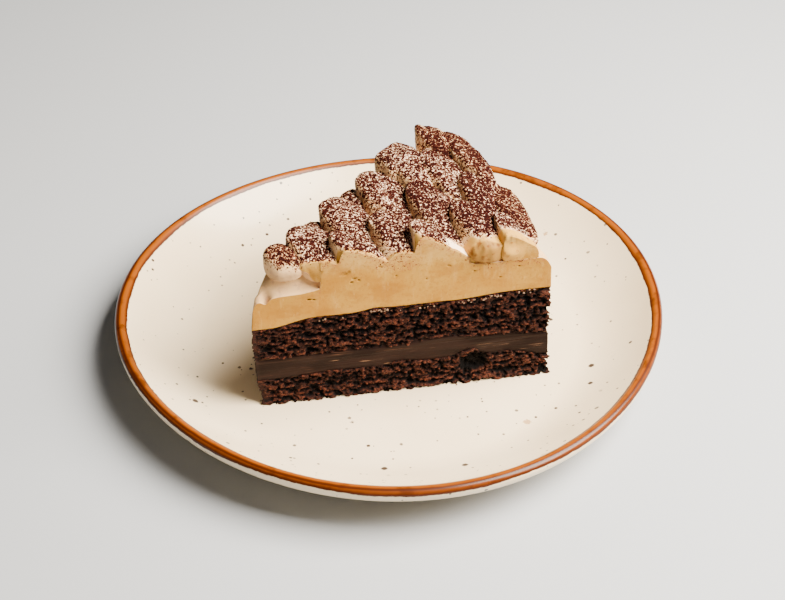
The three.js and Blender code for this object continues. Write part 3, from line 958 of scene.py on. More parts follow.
@dataclass(frozen=True)
class CakeCrumbs:
    """Lumps of crumb that stand out of the torn sponge and lie along its foot, as one mesh.

    The strays are places of single crumbs on the plate, in the object's frame.
    """

    on_cake: int = 2150
    on_plate: int = 22
    at_seam: int = 75
    strays: Pairs = (
        (25.6, -33.0), (40.0, -31.3), (34.7, -40.9), (65.7, 14.5), (65.3, 9.6), (64.2, -2.7), (68.8, -0.2))
    seam_spots: Sequence[float] = (28.0, 45.0, 50.0, 62.9, 63.5, 75.7, 83.0, 89.2, 100.0)
    seed: int = SEED + 1

    def spots_on_cake(self, layers: Sequence[Piece], draw: np.random.Generator) -> Array:
        """Picks places on the layers' sides where the sponge was torn outwards."""
        found = []
        for layer in layers:
            points, normals = read_rows(layer, "co"), read_rows(layer, "normal")
            height = points[:, 2]
            inside = (height > np.min(height) + 1.2 * MM) & (height < np.max(height) - 4.0 * MM)
            found.append(points[(read_value(layer, "relief") > 0.1) & (np.abs(normals[:, 2]) < 0.8) & inside])
        spots = np.concatenate(found)
        spots = spots[in_order(spots)]
        return spots[draw.choice(len(spots), self.on_cake, replace=False)]

    def spots_on_plate(self, draw: np.random.Generator) -> Array:
        """Scatters places on the well, close to the foot of the front and back faces."""
        along = draw.uniform(0.0, WEDGE.length, self.on_plate)
        away = 0.4 + draw.exponential(2.2, self.on_plate)
        spots = np.stack([along, -away, np.full(self.on_plate, 0.2)], axis=1)
        behind = draw.uniform(0.0, 1.0, self.on_plate) < 0.25
        face = np.array([math.cos(WEDGE.angle), math.sin(WEDGE.angle)])
        at_back = along[:, None] * face + away[:, None] * WEDGE.back_normal()
        spots[behind, :2] = at_back[behind]
        spots = WEDGE.settle(spots)
        spots[:len(self.strays), :2] = np.array(self.strays) * MM
        return spots

    def spots_at_seam(self, draw: np.random.Generator) -> Array:
        """Scatters places along the upper sponge's front edge, where pale crumbs stuck to the mousse."""
        along = draw.choice(self.seam_spots, self.at_seam) + draw.normal(0.0, 2.4, self.at_seam)
        along = np.clip(along, 1.0, WEDGE.length - 2.0)
        spots = np.stack([along, draw.uniform(-1.0, -0.3, self.at_seam), np.zeros(self.at_seam)], axis=1)
        spots[:, 2] = SPONGE_TOP.height(spots) + draw.uniform(-1.6, 0.3, self.at_seam)
        return WEDGE.settle(spots)

    def make(self, layers: Sequence[Piece], finish: Material) -> None:
        """Shapes one uneven lump at each place and joins them.

        Args:
            layers: The two sponge layers.
            finish: The sponge's material.
        """
        draw = np.random.default_rng(self.seed)
        deselect_all()
        bpy.ops.mesh.primitive_ico_sphere_add(subdivisions=2, radius=1.0)
        ball = bpy.context.active_object
        unit = read_rows(ball, "co")
        pattern = np.array([tuple(face.vertices) for face in ball.data.polygons])
        bpy.ops.object.delete()
        on_cake = self.spots_on_cake(layers, draw)
        spots = np.concatenate([on_cake, self.spots_on_plate(draw), self.spots_at_seam(draw)])
        count = len(spots)
        size = 0.17 + 0.4 * draw.beta(1.3, 3.4, count)
        size[self.on_cake:self.on_cake + self.on_plate] *= 0.75
        reaches = ((0.9, 1.4), (0.8, 1.2), (0.6, 0.9))
        stretch = np.stack([draw.uniform(low, high, count) for low, high in reaches], axis=1)
        turn = WEDGE.heading + draw.normal(0.0, 0.4, count)
        jitter = draw.uniform(0.72, 1.22, (count, len(unit), 1))
        lumps = unit[None] * jitter * (size[:, None] * stretch)[:, None, :] * MM
        cos, sin = np.cos(turn)[:, None], np.sin(turn)[:, None]
        x, y, z = lumps.transpose(2, 0, 1)
        lumps = np.stack([x * cos - y * sin, x * sin + y * cos, z], axis=2) + spots[:, None]
        piece = repeat_mesh("cake_crumbs", lumps, pattern)
        # random relief: each lump gets its share of painted shade and painted highlight from it
        relief = draw.uniform(-0.15, 1.0, count)
        pale = (np.arange(count) >= self.on_cake + self.on_plate) * draw.uniform(0.3, 1.0, count)
        keep_value(piece, "relief", np.repeat(relief, len(unit)))
        keep_value(piece, "pale", np.repeat(pale, len(unit)))
        finish_piece(piece, "cake_crumbs", finish)


@dataclass(frozen=True)
class FillingLayer:
    """The smooth chocolate filling between the sponges, which reaches a little way into both."""

    rows: int = 22
    below: float = 1.6
    above: float = 1.4
    inset: float = 0.32

    def make(self) -> None:
        """Builds and dresses the filling."""
        blank = LayerBlank(rows=self.rows, arc_step=0.55)
        piece = blank.build()
        points = read_rows(piece, "co")
        share = points[:, 2].copy()
        _, look = blank.sides(points)
        foot = BASE_TOP.height(points) - self.below
        top = FILLING_TOP.height(points) + self.above
        points[:, 2] = foot + (top - foot) * share
        tuck = 0.9 * smoothstep(0.84, 0.90, share) + 0.9 * smoothstep(0.14, 0.08, share)
        drawn = 0.16 * grain_noise(points, (24.0, 24.0, 0.9), 2.0)
        drawn += 0.22 * grain_noise(points, (9.0, 9.0, 2.6), 6.0)
        points[:, :2] += look * (drawn - self.inset - tuck)[:, None]
        write_points(piece, WEDGE.settle(points))
        finish_piece(piece, "filling_layer", FillingFinish().material(), ["chocolate_filling"])


@dataclass(frozen=True)
class MousseLayer:
    """The set mousse: clean cut faces with air holes, a rounded shoulder and a scooped edge at the tip.

    Its front face rises to the cut edge of the dollops, so that the knife's face is one surface. The edge
    lists that face's height by the place along. A hole lists its place along, height, and half its
    width and height.
    """

    top: float = 55.0
    shoulder: float = 5.5
    rows: int = 64
    below: float = 1.8
    rings: Sequence[float] = (
        0.997, 0.992, 0.985, 0.977, 0.968, 0.958, 0.947, 0.935, 0.922, 0.908, 0.893, 0.877, 0.86, 0.84, 0.815,
        0.785, 0.74, 0.68, 0.55)
    edge: Pairs = (
        (0.0, 43.6), (0.6, 45.4), (1.6, 47.5), (3.0, 47.9), (4.6, 47.3), (6.6, 49.0), (10.8, 49.5),
        (17.8, 49.8), (22.4, 50.5), (24.8, 51.3), (25.3, 52.4), (25.4, 58.6), (27.2, 59.6),
        (29.1, 60.0), (32.7, 61.4),
        (38.3, 62.3), (41.2, 60.3), (45.2, 59.9), (50.2, 60.5), (54.2, 61.4), (59.7, 61.5), (63.3, 63.0),
        (68.3, 61.7), (74.1, 57.9), (78.0, 56.2), (81.0, 55.0), (109.0, 55.0))
    under_cream: tuple[float, float] = (25.3, 79.0)
    holes: Sequence[tuple[float, float, float, float]] = (
        (33.5, 56.6, 1.25, 0.45), (37.0, 54.2, 0.75, 0.4), (35.2, 57.4, 0.5, 0.35), (38.6, 53.2, 0.4, 0.35),
        (36.0, 52.6, 0.45, 0.3), (20.4, 46.8, 0.6, 0.38), (22.1, 46.5, 0.5, 0.32), (46.6, 58.0, 0.6, 0.3),
        (71.2, 55.5, 0.6, 0.35), (80.5, 51.9, 0.4, 0.3), (63.0, 50.6, 0.35, 0.3), (90.0, 47.9, 0.35, 0.3),
        (25.0, 58.6, 0.9, 0.4), (52.0, 53.4, 0.35, 0.25), (97.0, 52.0, 0.35, 0.3))

    def cut_line(self, trees: Sequence[BVHTree]) -> Array:
        """The upper edge of the front face: the dollops' own cut edge, or the cream that fills between."""
        stations = np.arange(0.0, WEDGE.length + 1.0, 0.5)
        heights = along_knots(stations, self.edge)
        low, high = self.under_cream
        for index in np.nonzero((stations > low) & (stations < high))[0]:
            place = np.array([[stations[index] - WEDGE.lean * 60.0, 0.6, 100.0]])
            start = Vector(WEDGE.settle(place, leaning=False)[0])
            hits = [tree.ray_cast(start, -UP, 0.2)[0] for tree in trees]
            tops = [hit.z / MM - WEDGE.floor - 0.12 for hit in hits if hit is not None]
            heights[index] = max([heights[index] - 0.5, *tops])
        return np.stack([stations, heights], axis=1)

    def surface(self, points: Array, front: Array) -> Array:
        """The height of the mousse's upper surface over each point in plan.

        Args:
            points: The blank's points.
            front: The height of the front face's upper edge beside each point.

        Returns:
            One height for each point.
        """
        along, across = points[:, 0], points[:, 1]
        reach = np.hypot(along, across)
        over = np.clip((reach - (WEDGE.length - self.shoulder)) / self.shoulder, 0.0, 1.0)
        height = self.top - self.shoulder * (1.0 - np.sqrt(np.clip(1.0 - over ** 2, 0.0, 1.0)))
        scoop = (1.0 - smoothstep(0.0, 11.0, reach)) * smoothstep(0.0, 2.0, across - 0.3 * along)
        mound = hump(along, 11.0, 6.0) * smoothstep(1.5, 4.0, across) * smoothstep(11.0, 8.0, across)
        inner = smoothstep(4.0, 9.0, -(points[:, :2] @ np.array(WEDGE.back_normal())))
        inner *= smoothstep(3.5, 8.0, across)
        inner *= smoothstep(16.0, 26.0, reach) * smoothstep(106.0, 98.0, reach)
        height = height - 6.8 * scoop + 1.7 * mound + 4.6 * inner
        high = smoothstep(54.0, 57.0, front)
        depth = np.where(front > self.top, across, across - 0.04 * along)
        share = 1.0 - smoothstep(0.7 * high, 3.6 - 0.8 * high, depth)
        notch = 3.2 * hump(along, 5.4, 1.5) * hump(across, 1.5, 1.3)
        end = np.where(front > self.top - 0.1, 5.0 * over ** 3, 0.0)
        return height + (np.minimum(front, height + 20.0) - height) * share - notch - end

    def air_holes(self, points: Array) -> Array:
        """How deep each point lies in an air hole, from 0 to 1."""
        pits = np.zeros(len(points))
        for along, height, width, tall in self.holes:
            across_hole = (points[:, 0] - along) / width / 1.3
            up_hole = (points[:, 2] - height) / tall / 1.2
            pits = np.maximum(pits, 1.0 - np.hypot(across_hole, up_hole))
        return pits

    def make(self, finish: Material, trees: Sequence[BVHTree]) -> None:
        """Builds and dresses the mousse.

        Args:
            finish: The cream's material.
            trees: The faces of the dollops that end flat in the front face.
        """
        blank = LayerBlank(rows=self.rows, cap_rings=self.rings)
        piece = blank.build()
        points = read_rows(piece, "co")
        share = points[:, 2].copy()
        side, look = blank.sides(points)
        at_front, at_back = side == Side.FRONT.value, side == Side.BACK.value
        edge = self.cut_line(trees)
        rim = self.surface(points, along_knots(points[:, 0], edge))
        foot = SPONGE_TOP.height(points) - self.below
        points[:, 2] = foot + (rim - foot) * share
        calm = 0.18 * grain_noise(points, (16.0, 16.0, 9.0), 4.0)
        calm += 0.06 * grain_noise(points, (5.0, 5.0, 1.6), 8.0)
        pits = np.where(at_front, self.air_holes(points), 0.0)
        tuck = smoothstep(1.9, 1.5, points[:, 2] - foot)
        points[:, :2] += look * (calm - 1.5 * pits - tuck)[:, None]
        along, across, height = points.T
        line = along_knots(along, edge)
        # painted shade along the foot, where the mousse tucks behind the sponge
        under = 0.45 * smoothstep(2.2, 1.7, height - foot)
        crest = at_front & (line > 58.0) & (share > 0.9)
        cut = (at_front | at_back) & (share < 0.999) | crest
        scraped = 0.42 * hump(along, 52.5, 6.5) * smoothstep(54.0, 58.5, height)
        crumbed = 0.3 * smoothstep(4.0, 0.0, line - height) * smoothstep(20.0, 28.0, along)
        between = 0.85 * smoothstep(56.0, 57.5, height) * (share > 0.999) * (across > 3.5)
        # pit carries painted shade: the air holes and the tucked foot drawn darker
        keep_value(piece, "pit", np.maximum(pits, under))
        keep_value(piece, "cut", cut.astype(float))
        keep_value(piece, "dust", np.where(at_front, np.maximum(scraped, crumbed), between))
        keep_value(piece, "smear_and_painted_shade", np.full(len(points), 0.66))
        write_points(piece, WEDGE.settle(points))
        finish_piece(piece, "mousse_layer", finish, ["coffee_mousse"])


@dataclass(frozen=True)
class Dollop:
    """One piped dollop: its place on the mousse, its size and how it leans.

    The slant is how far it is drawn aside, the rise and the pitch how far its top falls to the right and to
    the front. A proud dollop stands out of the knife's face and isn't cut flat there.
    """

    number: int
    along: float
    across: float
    length: float
    width: float
    height: float
    turn: float
    slant: float
    rise: float
    pitch: float = 0.0
    proud: bool = False


@dataclass(frozen=True)
class PipedDollops:
    """All the piped dollops, each shaped from its own sphere and cut by the knife where it meets a face.

    A reach or round line gives how far a dollop reaches out by the share of the way up its sphere, and the
    two level lines how high it is there: for the crisp side and for the soft flank. Some dollops have a
    form or a cover of their own, and are named here by their number.
    """

    base: float = 54.0
    foot: float = 55.3
    fullness: float = 2.8
    overhang: float = 0.1
    bulge: float = 2.1
    lean_at: float = 61.0
    segments: int = 120
    rings: int = 64
    dollops: Sequence[Dollop] = (
        Dollop(1, 10.6, 6.2, 14, 13.6, 12.0, 0, 0.1, 1, proud=True),
        Dollop(2, 24.5, 6.3, 27, 20.8, 13.1, -4, 0.3, 4.5, 1),
        Dollop(3, 25.9, 19.0, 16, 13, 9.4, 0, 0.2, 2),
        Dollop(4, 39.6, 2.3, 20, 21.8, 15.6, -4, 0.15, 10, 1),
        Dollop(5, 37.3, 20.3, 27, 20.8, 14.0, -4, 0.3, 4.5, 1),
        Dollop(6, 43.2, 35.3, 17, 13.5, 10.2, 0, 0.2, 2),
        Dollop(7, 53.7, 9.3, 28, 19.8, 13.8, -6, 0.4, 5, 2),
        Dollop(8, 53.1, 33.7, 28, 20.3, 15.1, -4, 0.3, 4.5, 1),
        Dollop(9, 61.9, 49.3, 28, 17.8, 15.7, -4, 0.25, 0.4, 1),
        Dollop(10, 67.6, 0.9, 24, 21, 17.6, -6, 0.15, 13, 1),
        Dollop(11, 69.4, 21.5, 30, 20.8, 15.1, -6, 0.4, 5.5, 2),
        Dollop(12, 76.4, 43.1, 30, 18.3, 16.1, -6, 0.4, 4.5, 1),
        Dollop(13, 83.6, 10.2, 28, 20.4, 14.2, -4, 0.35, 5, 2, proud=True),
        Dollop(14, 80.4, 61.3, 26, 21, 17.15, 0, 0.3, 5),
        Dollop(15, 86.9, 28.0, 28, 13.5, 14.5, -6, 0.45, 4.5, 2),
        Dollop(16, 88.8, 48.1, 24, 14, 16.2, 0, 0.45, 4.5, 1),
        Dollop(17, 97.4, 23.7, 30, 15.5, 10.8, 0, 0.45, 5),
        Dollop(18, 95.0, 4.5, 24, 14.4, 14.2, 0, 0.2, 8.5, 1, proud=True),
    )
    reach_line: Pairs = (
        (0.0, 0.0), (0.08, 0.82), (0.20, 0.96), (0.34, 1.0), (0.49, 0.985), (0.60, 0.93), (0.70, 0.78),
        (0.83, 0.44), (1.0, 0.0))
    level_line: Pairs = (
        (0.0, 0.0), (0.08, 0.03), (0.20, 0.26), (0.34, 0.58), (0.49, 0.87), (0.60, 0.965), (0.70, 0.99),
        (0.83, 1.0), (1.0, 1.0))
    round_line: Pairs = (
        (0.0, 0.0), (0.09, 0.78), (0.20, 0.97), (0.32, 1.0), (0.46, 0.89), (0.60, 0.71), (0.73, 0.54),
        (0.86, 0.30), (1.0, 0.0))
    round_level: Pairs = (
        (0.0, 0.0), (0.09, 0.03), (0.20, 0.14), (0.32, 0.31), (0.46, 0.58), (0.60, 0.83), (0.73, 0.945),
        (0.86, 0.99), (1.0, 1.0))
    undercut: Pairs = ((50.0, 24.2), (52.0, 23.6), (57.7, 20.9), (59.4, 17.8), (62.0, 15.2), (66.0, 14.2))
    clean_line: Pairs = (
        (0.0, 60.8), (9.0, 60.6), (15.5, 59.0), (17.0, 54.0), (28.0, 50.0), (29.6, 66.5), (31.5, 66.0),
        (34.0, 62.4), (37.0, 55.0), (43.0, 55.0), (46.0, 61.0), (49.0, 55.0), (56.0, 55.0), (57.2, 70.0),
        (60.0, 69.0), (63.0, 65.0), (66.0, 63.0), (67.5, 64.5), (74.5, 64.5), (75.8, 66.0), (80.0, 64.8),
        (86.0, 64.6), (87.5, 72.0), (92.0, 68.6), (97.0, 65.0), (104.0, 61.5))
    spill: float = 0.16
    arch: float = 1.1
    droop: float = 1.8
    bow: float = 2.2
    tip: int = 1
    tucked: int = 2
    lobed: int = 13
    fluted: int = 14
    last: int = 18
    peaked: Sequence[int] = (4, 10)
    ridged: int = 10
    straight: Sequence[int] = (1, 3, 4, 6, 10, 14, 18)
    last_bowed: int = 10
    last_spilling: int = 15
    sag: dict = field(default_factory=lambda: {2: 0.2, 7: 0.12})
    lift: dict = field(default_factory=lambda: {13: 1.9, 18: 0.8})
    cover: dict = field(default_factory=lambda: {9: 0.95, 11: 1.13, 13: 1.13, 14: 1.13, 15: 1.13, 16: 1.13,
                                                 17: 1.05})
    # painted shade: a tan share for dollops that sit in shade
    painted_shade_tan: dict = field(default_factory=lambda: {1: 0.6, 14: 0.5, 16: 0.4, 17: 0.5})

    def shape(self, dollop: Dollop, unit: Array) -> Array:
        """Turns the points of a unit sphere into a dollop.

        Args:
            dollop: The dollop.
            unit: Rows of x, y and z on the sphere.

        Returns:
            Rows of along, across and height, in millimetres.
        """
        number, seed = dollop.number, dollop.number - 1.0
        angle = np.arctan2(unit[:, 1], unit[:, 0])
        cos, sin = np.cos(angle), np.sin(angle)
        polar = np.arccos(np.clip(-unit[:, 2], -1.0, 1.0)) / math.pi
        soft = 0.6 if number == self.tip else self.softness(angle)
        if number == self.lobed:
            soft = np.maximum(soft, smoothstep(0.1, -0.6, sin))
        crisp = 1.0 - soft
        reach = smooth_curve(polar, self.reach_line) * crisp + smooth_curve(polar, self.round_line) * soft
        level = smooth_curve(polar, self.level_line) * crisp + smooth_curve(polar, self.round_level) * soft
        fullness = self.fullness - 0.7 * soft
        full = (np.abs(cos) ** fullness + np.abs(sin) ** fullness) ** (-1.0 / fullness)
        uneven = 1.0 + 0.04 * np.sin(2.0 * angle + seed) + 0.03 * np.sin(3.0 * angle + 2.0 * seed)
        spread = reach * full * uneven
        side = dollop.width / 2.0 * spread * (1.0 - 0.1 * sin) * cos
        side = np.where((side > 0.0) & (number <= self.last_spilling), side * (1.0 + self.spill), side)
        depth = dollop.length / 2.0 * spread * sin - dollop.slant * side
        fall = dollop.rise * (0.5 + side / dollop.width) - dollop.pitch * depth / dollop.length
        fall += self.arch * (2.0 * side / dollop.width) ** 2 + self.droop * (2.0 * depth / dollop.length) ** 2
        height = (self.foot - self.base + dollop.height * (1.0 - fall / dollop.height)) * level
        if number == self.fluted:
            height -= hump(side, 3.0, 1.7) * level
        over = side - self.overhang * dollop.width * level ** 2
        if number not in self.straight:
            bow = self.bow * (0.4 if number > self.last_bowed else 1.0)
            over += bow * ((2.0 * depth / dollop.length) ** 2 - 0.5)
        turn = math.radians(dollop.turn)
        along = dollop.along + over * math.cos(turn) - depth * math.sin(turn)
        across = dollop.across + over * math.sin(turn) + depth * math.cos(turn)
        return self.own_form(dollop, along, across, height)

    def own_form(self, dollop: Dollop, along: Array, across: Array,
                 height: Array) -> Array:
        """Gives a dollop the form that only it has: sags, lifts, a bulging front or an undercut.

        Args:
            dollop: The dollop.
            along: Each point's place along.
            across: Each point's place across.
            height: Each point's height over the dollops' base.

        Returns:
            Rows of along, across and height, in millimetres.
        """
        number = dollop.number
        level = self.base + height
        if number == self.tip:
            level = 56.1 + height * 0.76
        if number in self.sag:
            level -= height * self.sag[number] * smoothstep(7.5, 0.0, across)
        if number in self.lift:
            level += self.lift[number] * smoothstep(5.0, 1.0, across) * smoothstep(64.0, 57.0, level)
        if dollop.proud:
            out = self.bulge_at(dollop, along, level)
            across = np.where(across < 0.3, 0.3 - out * np.tanh((0.3 - across) / out), across)
        if number == self.tucked:
            limit = along_knots(level, self.undercut) - 1.1 * np.maximum(across, 0.0)
            along = np.where(along < limit, limit - 0.6 * np.tanh((limit - along) / 0.6), along)
        if number == self.fluted:
            level += 1.5 * hump(along, 70.3, 2.4) * hump(across, 68.5, 6.0) * smoothstep(62.0, 70.0, level)
        return np.stack([along, across, level], axis=1)

    def bulge_at(self, dollop: Dollop, along: Array, height: Array) -> Array:
        """How far a dollop's front swells out of the knife's face: a lobe, or almost flat beside it."""
        if dollop.number == self.lobed:
            below = np.minimum(height - 60.5, 0.0) / 5.6
            swell = (1.0 - ((along - 80.9) / 7.2) ** 2) * (1.0 - below ** 2)
            return 0.3 + 1.9 * np.sqrt(np.clip(swell, 0.0, 1.0)) * smoothstep(68.0, 61.5, height)
        if dollop.number == self.last:
            return 0.3 + 1.7 * hump(along, 90.4, 4.0) * hump(height, 58.8, 2.6)
        return np.full(len(along), 0.9)

    def softness(self, angle: Array) -> Array:
        """How far each direction in plan has the soft flank: 1 to the front left, 0 to the right."""
        away = np.abs(np.angle(np.exp(1j * (angle + 0.74 * math.pi))))
        return smoothstep(1.15, 0.35, away)

    def fold(self, dollop: Dollop, points: Array) -> Array:
        """How far the cream's surface swells at each point, in millimetres: folds, ridges and bubbles."""
        number = dollop.number
        folds = grain_noise(points, (8.0, 11.0, 8.0), number * 3.1) * 0.55
        folds += grain_noise(points, (3.0, 5.5, 4.5), number * 1.7) * 0.36
        folds += grain_noise(points, (1.3, 1.3, 1.3), number * 0.7) * 0.09
        low = smoothstep(65.0, 61.0, points[:, 2]) * smoothstep(3.0, 0.0, points[:, 1])
        if number in self.lift:
            folds *= 1.0 - 0.6 * low
        if number == self.lobed:
            along = points[:, 0]
            ridges = hump(along, 78.2, 1.3) + 0.7 * hump(along, 81.4, 0.9) + hump(along, 84.6, 1.4)
            folds += 0.45 * ridges * low
        return folds

    def build_one(self, dollop: Dollop) -> Piece:
        """Shapes one dollop, cuts it at the wedge's faces, as the knife did, and sets it in its place."""
        deselect_all()
        bpy.ops.mesh.primitive_uv_sphere_add(segments=self.segments, ring_count=self.rings, radius=1.0)
        piece = bpy.context.active_object
        points = self.shape(dollop, read_rows(piece, "co"))
        write_points(piece, points)
        write_points(piece, points + read_rows(piece, "normal") * self.fold(dollop, points)[:, None])
        make_active(piece)
        bpy.ops.object.mode_set(mode="EDIT")
        step = 0.012 * dollop.number
        front = -self.bulge - 0.5 if dollop.proud else 0.25 + step
        cut_off((0.0, front, 0.0), (0.0, -1.0, 0.0), fill=True)
        cut_off((-WEDGE.lean * self.lean_at, step, 0.0), (*WEDGE.back_normal(), 0.0), fill=True)
        bpy.ops.object.mode_set(mode="OBJECT")
        write_points(piece, WEDGE.settle(read_rows(piece, "co"), leaning=False))
        return piece

    def make(self, finish: Material) -> tuple[list[Piece], list[BVHTree]]:
        """Builds, dusts and dresses every dollop.

        Args:
            finish: The cream's material.

        Returns:
            The pieces, and the faces of those that end flat in the front face.
        """
        pieces = [self.build_one(dollop) for dollop in self.dollops]
        trees = [self.tree_of(piece) for piece in pieces]
        for dollop, piece, own in zip(self.dollops, pieces, trees):
            self.dust(piece, dollop, [tree for tree in trees if tree is not own])
            node = "dollop_%02d" % dollop.number
            finish_piece(piece, "cream_" + node, finish, [node])
            crease(piece, 50.0)
        return pieces, [tree for dollop, tree in zip(self.dollops, trees) if not dollop.proud]

    def tree_of(self, piece: Piece) -> BVHTree:
        """The piece's faces, for asking what lies over a point."""
        mesh = piece.data
        return BVHTree.FromPolygons([v.co for v in mesh.vertices], [tuple(p.vertices) for p in mesh.polygons])

    def fallen(self, points: Array, normals: Array, others: Sequence[BVHTree]) -> Array:
        """How much cocoa falls on each point: the more it looks up, and less under another dollop."""
        amount = 0.35 * smoothstep(-0.3, 0.2, normals[:, 2]) + 0.65 * smoothstep(0.15, 0.75, normals[:, 2])
        for index in np.nonzero(amount > 0.0)[0]:
            start = Vector(points[index]) + Vector(normals[index]) * 0.3 * MM
            if any(tree.ray_cast(start, UP, 30.0 * MM)[0] is not None for tree in others):
                amount[index] *= 0.35
        return amount

    def dust(self, piece: Piece, dollop: Dollop, others: Sequence[BVHTree]) -> None:
        """Stores each point's cocoa, tan, painted shade and whether the knife cut it.

        Args:
            piece: The dollop's object.
            dollop: The dollop.
            others: The faces of the other dollops.
        """
        number = dollop.number
        points, normals = read_rows(piece, "co"), read_rows(piece, "normal")
        own, ways, up = WEDGE.own_points(points), WEDGE.own_ways(normals), normals[:, 2]
        along, across, height = own.T
        ragged = 1.2 * grain_noise(own, (2.6, 2.6, 2.6), 5.0)
        fine = grain_noise(own, (1.1, 1.1, 1.1), 3.0)
        to_left = -0.8 * ways[:, 0] - 0.6 * ways[:, 1]
        amount = self.fallen(points, normals, others) * self.cover.get(number, 1.0)
        amount *= 1.0 - 0.3 * smoothstep(0.3, 0.75, to_left)
        if number == self.fluted:
            # painted highlight: dollop 14's rear face loses cocoa, so its far rim shows pale
            amount *= 1.0 - 0.9 * smoothstep(0.3, 0.6, 0.55 * ways[:, 0] + 0.83 * ways[:, 1])
        flank = 2.2 * smoothstep(0.2, -0.3, up - 0.35) if number in self.peaked else 0.0
        amount *= smoothstep(0.25, 0.9, across + 0.45 * ragged + 0.9 * fine - flank)
        if number in (self.tip, self.lobed):
            low, high = (0.05, 0.75) if number == self.tip else (-0.5, 0.6)
            amount = np.where(across < 1.5, smoothstep(low, high, up), amount)
        clean = smoothstep(0.8, -0.8, height - along_knots(along, self.clean_line) + ragged)
        clean *= smoothstep(5.5, 3.2, across)
        keep_value(piece, "dust", amount * (1.0 - clean))
        # painted shade: flanks that turn left, away from the key light, get the tan
        side = 0.6 * smoothstep(0.25, 0.7, to_left)
        edge = np.maximum(clean, smoothstep(1.8, 0.8, across + 0.6 * fine))
        if number == self.ridged:
            edge *= 1.0 - smoothstep(66.5, 68.0, along)
        smear_and_painted_shade = np.maximum(side, edge) * (number != self.tip)
        # one value holds both the tan at the knife's edge and the painted shade
        keep_value(piece, "smear_and_painted_shade", np.maximum(smear_and_painted_shade, self.painted_shade_tan.get(number, 0.0)))
        # painted shade from shade(), stored as pit
        keep_value(piece, "pit", self.shade(number, own))
        front = (np.abs(across - 0.25) < 0.35) & (number not in (self.tip, self.lobed))
        front &= (up < 0.7) | (number != self.last)
        behind = np.stack([along + WEDGE.lean * self.lean_at, across], axis=1) @ np.array(WEDGE.back_normal())
        keep_value(piece, "cut", (front | (np.abs(behind) < 0.3)).astype(float))

    def shade(self, number: int, own: Array) -> Array:
        """Painted shade for each point: in the folds of the lobed fronts and at the foot of the tip's dollop.
        """
        across, height = own[:, 1], own[:, 2]
        if number == self.tip:
            return 0.22 * smoothstep(64.0, 58.0, height)
        if number not in self.lift:
            return np.zeros(len(own))
        stripes = smoothstep(-0.1, 0.5, grain_noise(own, (1.3, 3.0, 6.0), 7.0))
        stripes *= smoothstep(60.5, 64.5, height)
        return smoothstep(2.0, 0.5, across) * (0.25 + 0.2 * stripes) * (1.0 if number == self.lobed else 0.5)


@dataclass(frozen=True)
class CocoaDust:
    """Loose grains of cocoa lying on the dollops, as one mesh."""

    count: int = 15000
    size: tuple[float, float] = (0.16, 0.42)
    spread: float = 0.35
    least: float = 0.05
    seed: int = SEED

    def make(self, dollops: Sequence[Piece]) -> None:
        """Scatters the grains where the cocoa landed.

        Args:
            dollops: The pieces that were dusted.
        """
        draw = np.random.default_rng(self.seed)
        centres, normals, weights = [], [], []
        for piece in dollops:
            dust = read_value(piece, "dust")
            for face in piece.data.polygons:
                share = float(np.mean(dust[list(face.vertices)]))
                if share > self.least:
                    centres.append(face.center[:])
                    normals.append(face.normal[:])
                    weights.append(face.area * share)
        order = in_order(np.array(centres))
        centres, normals, weights = (np.array(values)[order] for values in (centres, normals, weights))
        chosen = draw.choice(len(centres), self.count, p=weights / np.sum(weights))
        spread = draw.normal(0.0, self.spread * MM, (self.count, 3))
        normal = normals[chosen]
        spread -= normal * np.sum(spread * normal, axis=1)[:, None]
        corners, pattern = self.grains(centres[chosen] + spread, normal, draw)
        piece = repeat_mesh("cocoa_grains", corners, pattern)
        finish_piece(piece, "cocoa_grains", PowderFinish().material())

    def grains(self, spots: Array, normals: Array,
               draw: np.random.Generator) -> tuple[Array, Array]:
        """Shapes one small uneven grain at each spot.

        Args:
            spots: The grains' places.
            normals: The directions that the cream looks to there.
            draw: The source of random numbers.

        Returns:
            The corners by grain, and the faces of one grain.
        """
        count = len(spots)
        aside = np.cross(normals, UP) + [1e-6, 0.0, 0.0]
        aside /= np.linalg.norm(aside, axis=1)[:, None]
        spin = draw.uniform(0.0, 2.0 * math.pi, count)[:, None]
        first = aside * np.cos(spin) + np.cross(normals, aside) * np.sin(spin)
        second = np.cross(normals, first)
        low, high = self.size
        size = (low + (high - low) * draw.beta(1.4, 2.4, count))[:, None] * MM
        corners = []
        for way, factor in ((first, 1.0), (second, 0.85), (-first, 0.9), (-second, 1.0)):
            corners.append(spots + way * size * factor * draw.uniform(0.7, 1.15, (count, 1)))
        corners.append(spots + normals * size * draw.uniform(0.35, 0.8, (count, 1)))
        corners.append(spots - normals * size * 0.5)
        pattern = [(side, (side + 1) % 4, 4) for side in range(4)]
        pattern += [((side + 1) % 4, side, 5) for side in range(4)]
        return np.stack(corners, axis=1), np.array(pattern)


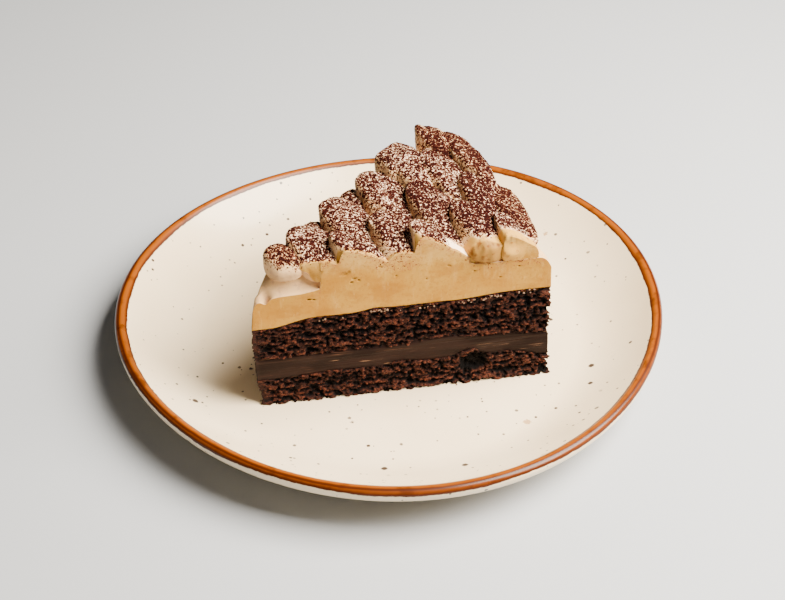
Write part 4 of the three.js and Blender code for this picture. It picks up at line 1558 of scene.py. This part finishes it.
@dataclass(frozen=True)
class Studio:
    """The pale floor, the soft lights and the camera at the photo's angle.

    A light lists its place in metres, its size, its power and its colour.
    """

    floor_colour: Colour = (0.40, 0.42, 0.45, 1.0)
    room_colour: Colour = (0.84, 0.93, 1.08, 1.0)
    room_strength: float = 0.044
    lit_point: tuple[float, float, float] = (0.0, 0.0, 0.03)
    key: tuple = ((0.44, -0.07, 0.57), 0.52, 42.0, (1.0, 0.92, 0.80))
    front: tuple = ((0.1, -0.75, 0.52), 0.8, 0.7, (1.0, 0.95, 0.88))
    aim: tuple[float, float] = (1.60, 26.78)
    pitch: float = math.radians(38.15)
    roll: float = math.radians(0.04)
    distance: float = 600.0
    focal_pixels: float = 1450.0
    image_width: float = 785.0
    sensor: float = 36.0

    def floor(self) -> None:
        """A wide plain floor."""
        deselect_all()
        bpy.ops.mesh.primitive_plane_add(size=6.0, location=(0.0, 0.0, 0.0))
        floor = bpy.context.active_object
        floor.name = "floor"
        material, sheet = new_material("floor")
        sheet.surface(self.floor_colour, 0.9, 0.5)
        floor.data.materials.append(material)

    def lamp(self, name: str, place: Sequence[float], size: float, power: float,
             colour: Sequence[float]) -> None:
        """A square soft light that looks at the slice."""
        data = bpy.data.lights.new(name, "AREA")
        data.size = size
        data.energy = power
        data.color = colour
        lamp = bpy.data.objects.new(name, data)
        bpy.context.collection.objects.link(lamp)
        lamp.location = place
        lamp.rotation_euler = (Vector(self.lit_point) - Vector(place)).to_track_quat("-Z", "Y").to_euler()

    def camera(self) -> None:
        """The camera, at the photo's distance from the point that it looks at."""
        data = bpy.data.cameras.new("camera")
        data.sensor_width = self.sensor
        data.lens = self.sensor * self.focal_pixels / self.image_width
        data.clip_start = 0.01
        camera = bpy.data.objects.new("camera", data)
        bpy.context.collection.objects.link(camera)
        x, y = self.aim
        back, up = self.distance * math.cos(self.pitch), self.distance * math.sin(self.pitch)
        camera.location = (x * MM, (y - back) * MM, up * MM)
        camera.rotation_euler = (math.pi / 2.0 - self.pitch, 0.0, self.roll)
        bpy.context.scene.camera = camera

    def make(self) -> None:
        """Sets the stage."""
        self.floor()
        self.lamp("key", *self.key)
        self.lamp("front", *self.front)
        world = bpy.data.worlds.new("room")
        world.use_nodes = True
        inputs = world.node_tree.nodes["Background"].inputs
        inputs["Color"].default_value = self.room_colour
        inputs["Strength"].default_value = self.room_strength
        bpy.context.scene.world = world
        self.camera()


def main() -> None:
    """Builds every piece in order."""
    logging.basicConfig(level=logging.INFO, format="%(name)s: %(message)s")
    Studio().make()
    Plate().make()
    sponge = SpongeFinish().material()
    lower = SpongeLayer("lower_sponge", "sponge_bottom", WELL, BASE_TOP, 34, 11.0, round_out=-0.8,
                        foot_out=1.3, hollow=(80.4, 9.0, 5.8, 4.5))
    upper = SpongeLayer("upper_sponge", "sponge_top", FILLING_TOP, SPONGE_TOP, 50, 37.0, round_out=-2.2)
    layers = [lower.make(sponge), upper.make(sponge)]
    FillingLayer().make()
    CakeCrumbs().make(layers, sponge)
    cream = CreamFinish().material()
    dollops, flat_faces = PipedDollops().make(cream)
    MousseLayer().make(cream, flat_faces)
    CocoaDust().make(dollops)


if __name__ == "__main__":
    main()
